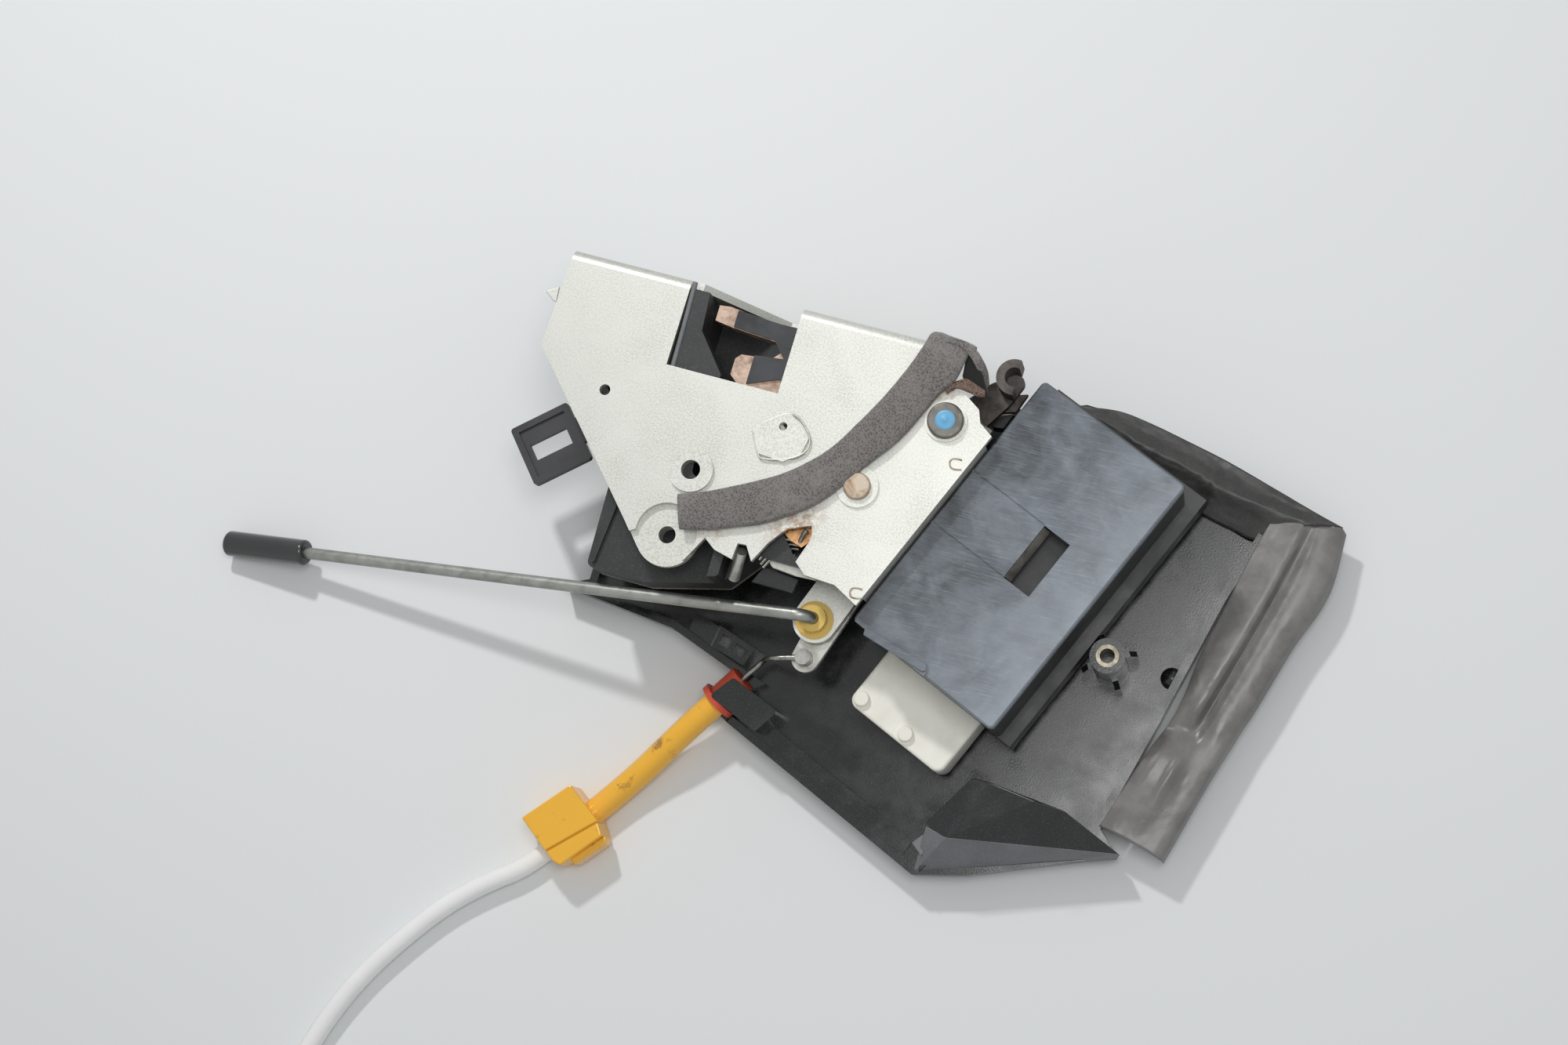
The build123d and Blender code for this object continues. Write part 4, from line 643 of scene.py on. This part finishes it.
APRON = [
    heights([(144.5, 57.5), (141.5, 46.7), (137.3, 26.7), (134.2, 10.7), (131.6, -8.5),
             (130.4, -12.5), (129.2, -15.5), (119.6, -45.1)],
            [11.8, 11.6, 11.6, 11.6, 11.4, 10.9, 12.0, 12.0]),
    heights([(149.0, 56.5), (146.2, 44.5), (141.6, 25.0), (137.2, 8.8), (134.0, -8.0),
             (133.0, -12.0), (132.0, -15.5), (123.6, -45.8)],
            [12.6, 12.7, 12.7, 12.7, 12.4, 11.2, 12.8, 12.6]),
    heights([(153.2, 55.5), (150.7, 42.9), (146.4, 23.9), (141.9, 6.9), (137.7, -7.9),
             (136.6, -12.0), (135.6, -15.9), (127.4, -46.5)],
            [12.6, 12.9, 12.9, 12.9, 12.6, 11.2, 12.8, 12.6]),
    heights([(155.0, 55.0), (152.5, 43.1), (148.2, 24.1), (143.8, 7.1), (139.6, -8.4),
             (138.4, -12.4), (137.4, -16.3), (129.4, -47.0)],
            [12.0, 10.9, 10.5, 10.5, 10.7, 10.9, 12.8, 12.6]),
    heights([(157.6, 55.2), (155.4, 43.0), (151.0, 24.0), (146.4, 6.4), (142.4, -9.0),
             (141.2, -13.0), (140.2, -16.7), (132.0, -47.6)],
            [12.3, 12.4, 12.3, 12.3, 12.3, 12.0, 12.7, 12.5]),
    heights([(163.2, 56.6), (163.4, 41.4), (157.4, 19.7), (152.8, 1.9), (149.4, -9.6),
             (148.6, -13.2), (147.5, -16.8), (139.0, -49.6)],
            [10.6, 10.8, 10.8, 10.8, 10.8, 10.8, 11.0, 11.0]),
    heights([(164.8, 55.4), (165.0, 40.2), (158.6, 18.7), (153.8, 0.9), (150.4, -10.0),
             (149.4, -13.6), (148.3, -17.2), (139.8, -50.1)],
            [8.6, 8.2, 8.2, 8.2, 8.2, 8.2, 8.4, 8.4]),
]
apron = draped("side_skirt", APRON, thickness=1.6, slot="warm_grey", rows=150, columns=60, ripple=0.12,
               seed=5)
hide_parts("side_apron")

REAR_WALL = [
    heights([(78.0, 68.6), (90.0, 64.0), (100.0, 59.9), (110.0, 55.8), (124.2, 50.6),
             (132.6, 48.8), (141.0, 47.4), (146.0, 50.0)],
            [10.2, 10.2, 10.2, 10.2, 8.4, 8.0, 9.4, 11.6]),
    heights([(80.0, 70.0), (92.0, 66.0), (101.5, 62.2), (114.0, 58.9), (126.0, 54.6),
             (135.2, 52.9), (143.9, 51.6), (151.0, 53.0)],
            [13.6, 13.6, 13.4, 12.6, 11.0, 10.4, 11.4, 12.6]),
    heights([(81.0, 71.0), (94.0, 67.4), (103.0, 64.6), (117.4, 61.5), (127.7, 58.2),
             (137.4, 56.6), (146.8, 55.6), (156.0, 55.6)],
            [14.6, 14.8, 14.6, 14.4, 14.0, 13.4, 13.2, 12.9]),
    heights([(81.6, 71.6), (93.6, 70.4), (103.2, 68.4), (117.0, 65.4), (129.6, 62.2),
             (141.4, 59.4), (151.0, 57.4), (160.0, 56.4)],
            [13.8, 13.2, 12.8, 12.4, 12.0, 11.8, 11.8, 12.2]),
    heights([(82.0, 72.0), (93.1, 73.2), (103.1, 71.9), (116.6, 69.2), (131.4, 65.7),
             (145.2, 61.8), (155.0, 59.0), (163.4, 56.9)],
            [12.4, 12.6, 12.6, 12.2, 11.8, 11.4, 11.0, 10.6]),
]
wall = draped("rear_wall_sheet", REAR_WALL, thickness=1.4, slot="film", rows=120, columns=40,
              ripple=0.35, seed=8)
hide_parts("back_wall")

# Paint dab on the release pivot: radius and height above the rivet's top.
RELEASE_PIVOT = (54.6, 19.3)
PAINT_DAB = [(0.0, 0.35), (0.55, 0.34), (0.75, 0.16), (2.0, 0.2), (2.7, 0.12), (2.9, -0.05)]
rivet_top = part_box("release_pivot_rivet")[1][2] * 1000
turned("paint_mark", RELEASE_PIVOT, [(radius, rivet_top + lift) for radius, lift in PAINT_DAB], "blue")

# Gusset, and its front wall in a paler, lit copy of the charcoal moulding: painted light on that face.
GUSSET_BASE = 6.2
GUSSET = [(82.0, -42.5, 22.0), (87.1, -42.4, 22.0), (100.8, -43.8, 20.0), (109.4, -44.1, 18.0),
          (127.5, -51.4, 12.0), (79.3, -61.3, 20.0), (72.2, -58.6, 18.0)]
GUSSET_FOOT = [(x, y, GUSSET_BASE) for x, y, z in GUSSET]
gusset = hulled("gusset_block", GUSSET + GUSSET_FOOT, "charcoal", bevel_mm=0.8)
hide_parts("tray_gusset")
GUSSET_FRONT = [(79.3, -61.0, 20.2), (127.6, -51.2, 12.2), (72.4, -59.4, 17.0), (71.6, -73.4, 9.0),
                (100.3, -62.6, 8.0), (127.0, -52.8, 8.0), (74.0, -60.0, 8.0)]
hulled("gusset_front_wall", GUSSET_FRONT, "charcoal_painted_light", bevel_mm=0.3)

# Flat pieces: name, lower and upper level, finish and outline.
BLOCKS = [
    # The corner post and lug wear the lit copy of the charcoal moulding: painted light.
    ("corner_post", 9.0, 15.0, "charcoal_painted_light", [(72.8, -60.1), (75.9, -56.8), (78.3, -59.4), (75.6, -63.9)]),
    ("corner_lug", 9.0, 13.6, "charcoal_painted_light", [(69.4, -65.0), (72.0, -61.7), (75.5, -63.9), (73.1, -67.9)]),
    ("corner_slot", 9.0, 11.6, "black_moulding",
     [(72.9, -67.9), (77.2, -63.3), (79.0, -64.4), (73.5, -72.4)]),
    ("edge_spur", 50.1, 50.9, "zinc_sheet",
     [(-70.7, 59.7), (-74.2, 57.6), (-73.8, 57.0), (-71.2, 55.2), (-70.2, 55.0)]),
    ("spring_seat", 47.2, 47.8, "copper",
     [(14.2, 7.6), (15.9, 11.3), (19.6, 13.1), (22.3, 11.9), (23.3, 8.7), (20.2, 5.0), (16.5, 6.1)]),
    ("lower_link", 43.4, 44.2, "zinc_sheet",
     [(10.8, -0.2), (17.9, 3.4), (20.4, 0.6), (26.5, -2.4), (20.3, -2.8), (13.0, -2.2)]),
    ("lower_guide", 38.0, 40.0, "black_moulding", [(9.8, -2.0), (20.4, -3.0), (19.8, -7.4), (7.4, -7.3)]),
    ("upper_bar", 30.6, 33.0, "dark_steel",
     [(56.0, 61.6), (60.1, 64.6), (68.0, 67.2), (67.8, 66.4), (66.0, 61.2), (57.4, 58.6)]),
    ("upper_strip", 29.8, 30.5, "plated_steel", [(57.2, 58.6), (65.4, 61.9), (65.2, 60.9), (58.7, 58.2)]),
    ("upper_stop", 22.0, 28.0, "black_moulding", [(58.7, 58.9), (64.7, 61.0), (63.2, 56.5), (60.0, 56.1)]),
    ("cover_lip", 45.8, 47.4, "cover",
     [(44.2, -11.4), (63.8, -16.9), (64.1, -18.8), (63.1, -19.4), (44.2, -13.9)]),
]
for name, low, high, slot, outline in BLOCKS:
    slab(name, outline, low, high, slot)
BACK_EDGE = [(48.3, 59.8), (51.6, 59.8), (55.4, 57.9), (58.1, 54.9), (60.2, 52.4), (63.3, 51.4),
             (62.9, 50.1), (59.8, 51.6), (57.4, 54.3), (54.7, 57.1), (51.4, 58.8), (48.4, 58.9)]
slab("plate_back_edge", BACK_EDGE, low=47.6, high=49.0, slot="dark_rim", bevel_mm=0.3)

# Inside the cover's window: a guard over the gears and the lip along one side.
GUARD = [(80.5, 12.5), (93.5, 12.5), (93.5, 35.0), (80.5, 35.0)]
slab("gear_guard", GUARD, low=37.15, high=37.95, slot="box", place=module, bevel_mm=0.2)
LIP_SECTION = [(82.45, 45.6), (84.5, 43.4), (82.45, 40.2)]
LIP_ENDS = (14.8, 32.7)
hulled("window_lip", [(x, y, z) for x, z in LIP_SECTION for y in LIP_ENDS], "dark_rim", place=module,
       bevel_mm=0.15)

# Marks pressed in the face plate and the raised rim round its embossed pad.
PRESS_MARKS = {"press_mark_upper": [(58.4, 37.8), (55.9, 36.9), (54.4, 38.8), (55.2, 40.6), (57.8, 40.4)],
               "press_mark_lower": [(41.7, -4.6), (39.0, -5.6), (37.8, -3.8), (38.6, -2.0), (41.2, -2.2)]}
for name, outline in PRESS_MARKS.items():
    line = heights(outline, [PLATE_TOP + 0.1] * len(outline))
    cord_curve(name, line, diameter_mm=0.5, slot="rivet", place=plain)
RIM_LEVEL = 52.95
RIM = [(-2.0, 33.1), (-1.3, 34.7), (5.3, 40.0), (7.6, 40.8), (10.3, 39.9), (13.9, 36.4), (15.1, 33.4),
       (14.3, 30.6), (10.7, 27.8), (2.8, 25.7), (1.4, 26.7)]
rim_line = heights(RIM + RIM[:1], [RIM_LEVEL] * (len(RIM) + 1))
cord_curve("emboss_rim", rim_line, diameter_mm=0.6, slot="zinc_sheet", place=plain)
# The liner's bevelled edge: a cord whose pale colour is a painted highlight along the black slot liner.
LINER_HIGHLIGHT = [(-31.6, 70.9, 51.3), (-31.3, 64.6, 51.3), (-30.9, 54.7, 51.3), (-30.6, 45.4, 51.3)]
cord_curve("liner_painted_highlight", LINER_HIGHLIGHT, diameter_mm=1.5, slot="charcoal_painted_light", place=plain)

# Return spring: the arcs of three turns, each at its level, and the hook.
SPRING_TURNS = {
    47.0: [(9.3, -1.4), (10.6, 2.0), (12.6, 4.7), (15.6, 6.7), (18.7, 6.6)],
    45.6: [(9.8, -2.4), (11.3, 1.3), (13.4, 3.7), (16.1, 5.6), (18.9, 5.7)],
    44.2: [(10.4, -2.9), (12.0, 0.5), (14.1, 3.0), (16.4, 4.6), (19.0, 4.8)],
}
for number, (level, arc) in enumerate(SPRING_TURNS.items(), 1):
    cord_curve(f"return_spring_turn_{number}", heights(arc, [level] * len(arc)), diameter_mm=1.2,
               slot="bare_steel", place=plain)
HOOK = [(20.6, 10.1, 49.6), (19.9, 8.4, 49.2), (19.2, 6.3, 47.0)]
cord_curve("return_spring_hook", HOOK, diameter_mm=1.4, slot="bare_steel", place=plain)

# The foam's far end: a strip wrapped over the plate's corner, the torn end, and between them a near-black
# foam block that paints the shadow in the gap.
WRAP_LEVELS = [53.2, 53.4, 53.2, 52.6, 50.6, 48.0]
WRAP_NEAR = heights([(44.7, 71.3), (48.8, 71.0), (51.5, 69.6), (54.0, 67.2), (56.1, 64.9), (58.0, 62.4)],
                    WRAP_LEVELS)
WRAP_FAR = heights([(45.6, 73.2), (49.3, 73.0), (53.0, 71.6), (55.7, 69.3), (57.6, 67.0), (58.8, 63.8)],
                   WRAP_LEVELS)
ribbon("foam_wrap", WRAP_NEAR, WRAP_FAR, [UP] * 6, thickness=1.4, slot="foam", place=plain, rows=60,
       ripple=0.25, seed=11)
TORN_LEVELS = [PLATE_TOP + 0.2] * 5
TORN_NEAR = heights([(47.7, 58.7), (50.1, 61.4), (52.4, 62.9), (55.9, 62.0), (58.7, 61.1)], TORN_LEVELS)
TORN_FAR = heights([(48.5, 57.5), (51.1, 59.6), (54.4, 59.3), (57.3, 58.9), (59.0, 59.3)], TORN_LEVELS)
ribbon("foam_torn_end", TORN_NEAR, TORN_FAR, [UP] * 5, thickness=1.8, slot="foam_core", place=plain,
       rows=60, ripple=0.9, seed=12)
# Painted shadow: a near-black foam block fills the gap between the wrap and the torn end.
GAP = [(50.7, 70.3), (51.3, 63.4), (55.4, 62.1), (59.4, 60.9), (56.4, 65.7)]
slab("foam_gap_painted_shadow", GAP, low=46.0, high=53.0, slot="foam_shade", bevel_mm=0.0)


# Floor, world and lamps.
def make_stage():
    """A pale floor under the part, and a world that cameras and reflections see as pale grey."""
    mesh = bpy.data.meshes.new("floor")
    reach = 3.0
    mesh.from_pydata([(-reach, -reach, 0), (reach, -reach, 0), (reach, reach, 0), (-reach, reach, 0)], [],
                     [(0, 1, 2, 3)])
    floor = bpy.data.objects.new("floor", mesh)
    bpy.context.collection.objects.link(floor)
    mesh.materials.append(flat_stage("matt_table", "#E9EBEB"))
    world = bpy.data.worlds.new("studio")
    bpy.context.scene.world = world
    world.use_nodes = True
    tree = world.node_tree
    tree.nodes.clear()
    seen = add(tree, "ShaderNodeLightPath")
    shown = calculate(tree, "MAXIMUM", seen.outputs["Is Camera Ray"], seen.outputs["Is Glossy Ray"])
    shown = calculate(tree, "MAXIMUM", shown, seen.outputs["Is Transmission Ray"])
    soft = add(tree, "ShaderNodeBackground", {"Color": linear("#F2F4F6"), "Strength": 0.4})
    clear = add(tree, "ShaderNodeBackground", {"Color": linear("#E6E8E8"), "Strength": 1.0})
    blend = add(tree, "ShaderNodeMixShader", {0: shown, 1: soft.outputs[0], 2: clear.outputs[0]})
    add(tree, "ShaderNodeOutputWorld", {"Surface": blend.outputs[0]})


# The key light's place follows the shadows; the sheen light hangs where the cover mirrors it.
KEY_AT = (-0.378, 0.52, 0.678)
KEY_AIM = (0.04, 0.0, 0.03)
SHEEN_AT = (0.185, 0.045, 0.9)
SHEEN_AIM = (0.185, 0.045, 0.0)
make_stage()
area_lamp("key_light", KEY_AT, KEY_AIM, size=(0.06, 0.06), power=3.5)
area_lamp("sheen_light", SHEEN_AT, SHEEN_AIM, size=(0.26, 0.34), power=2.0, turn=-25.5)
bpy.context.scene.view_settings.view_transform = "Standard"
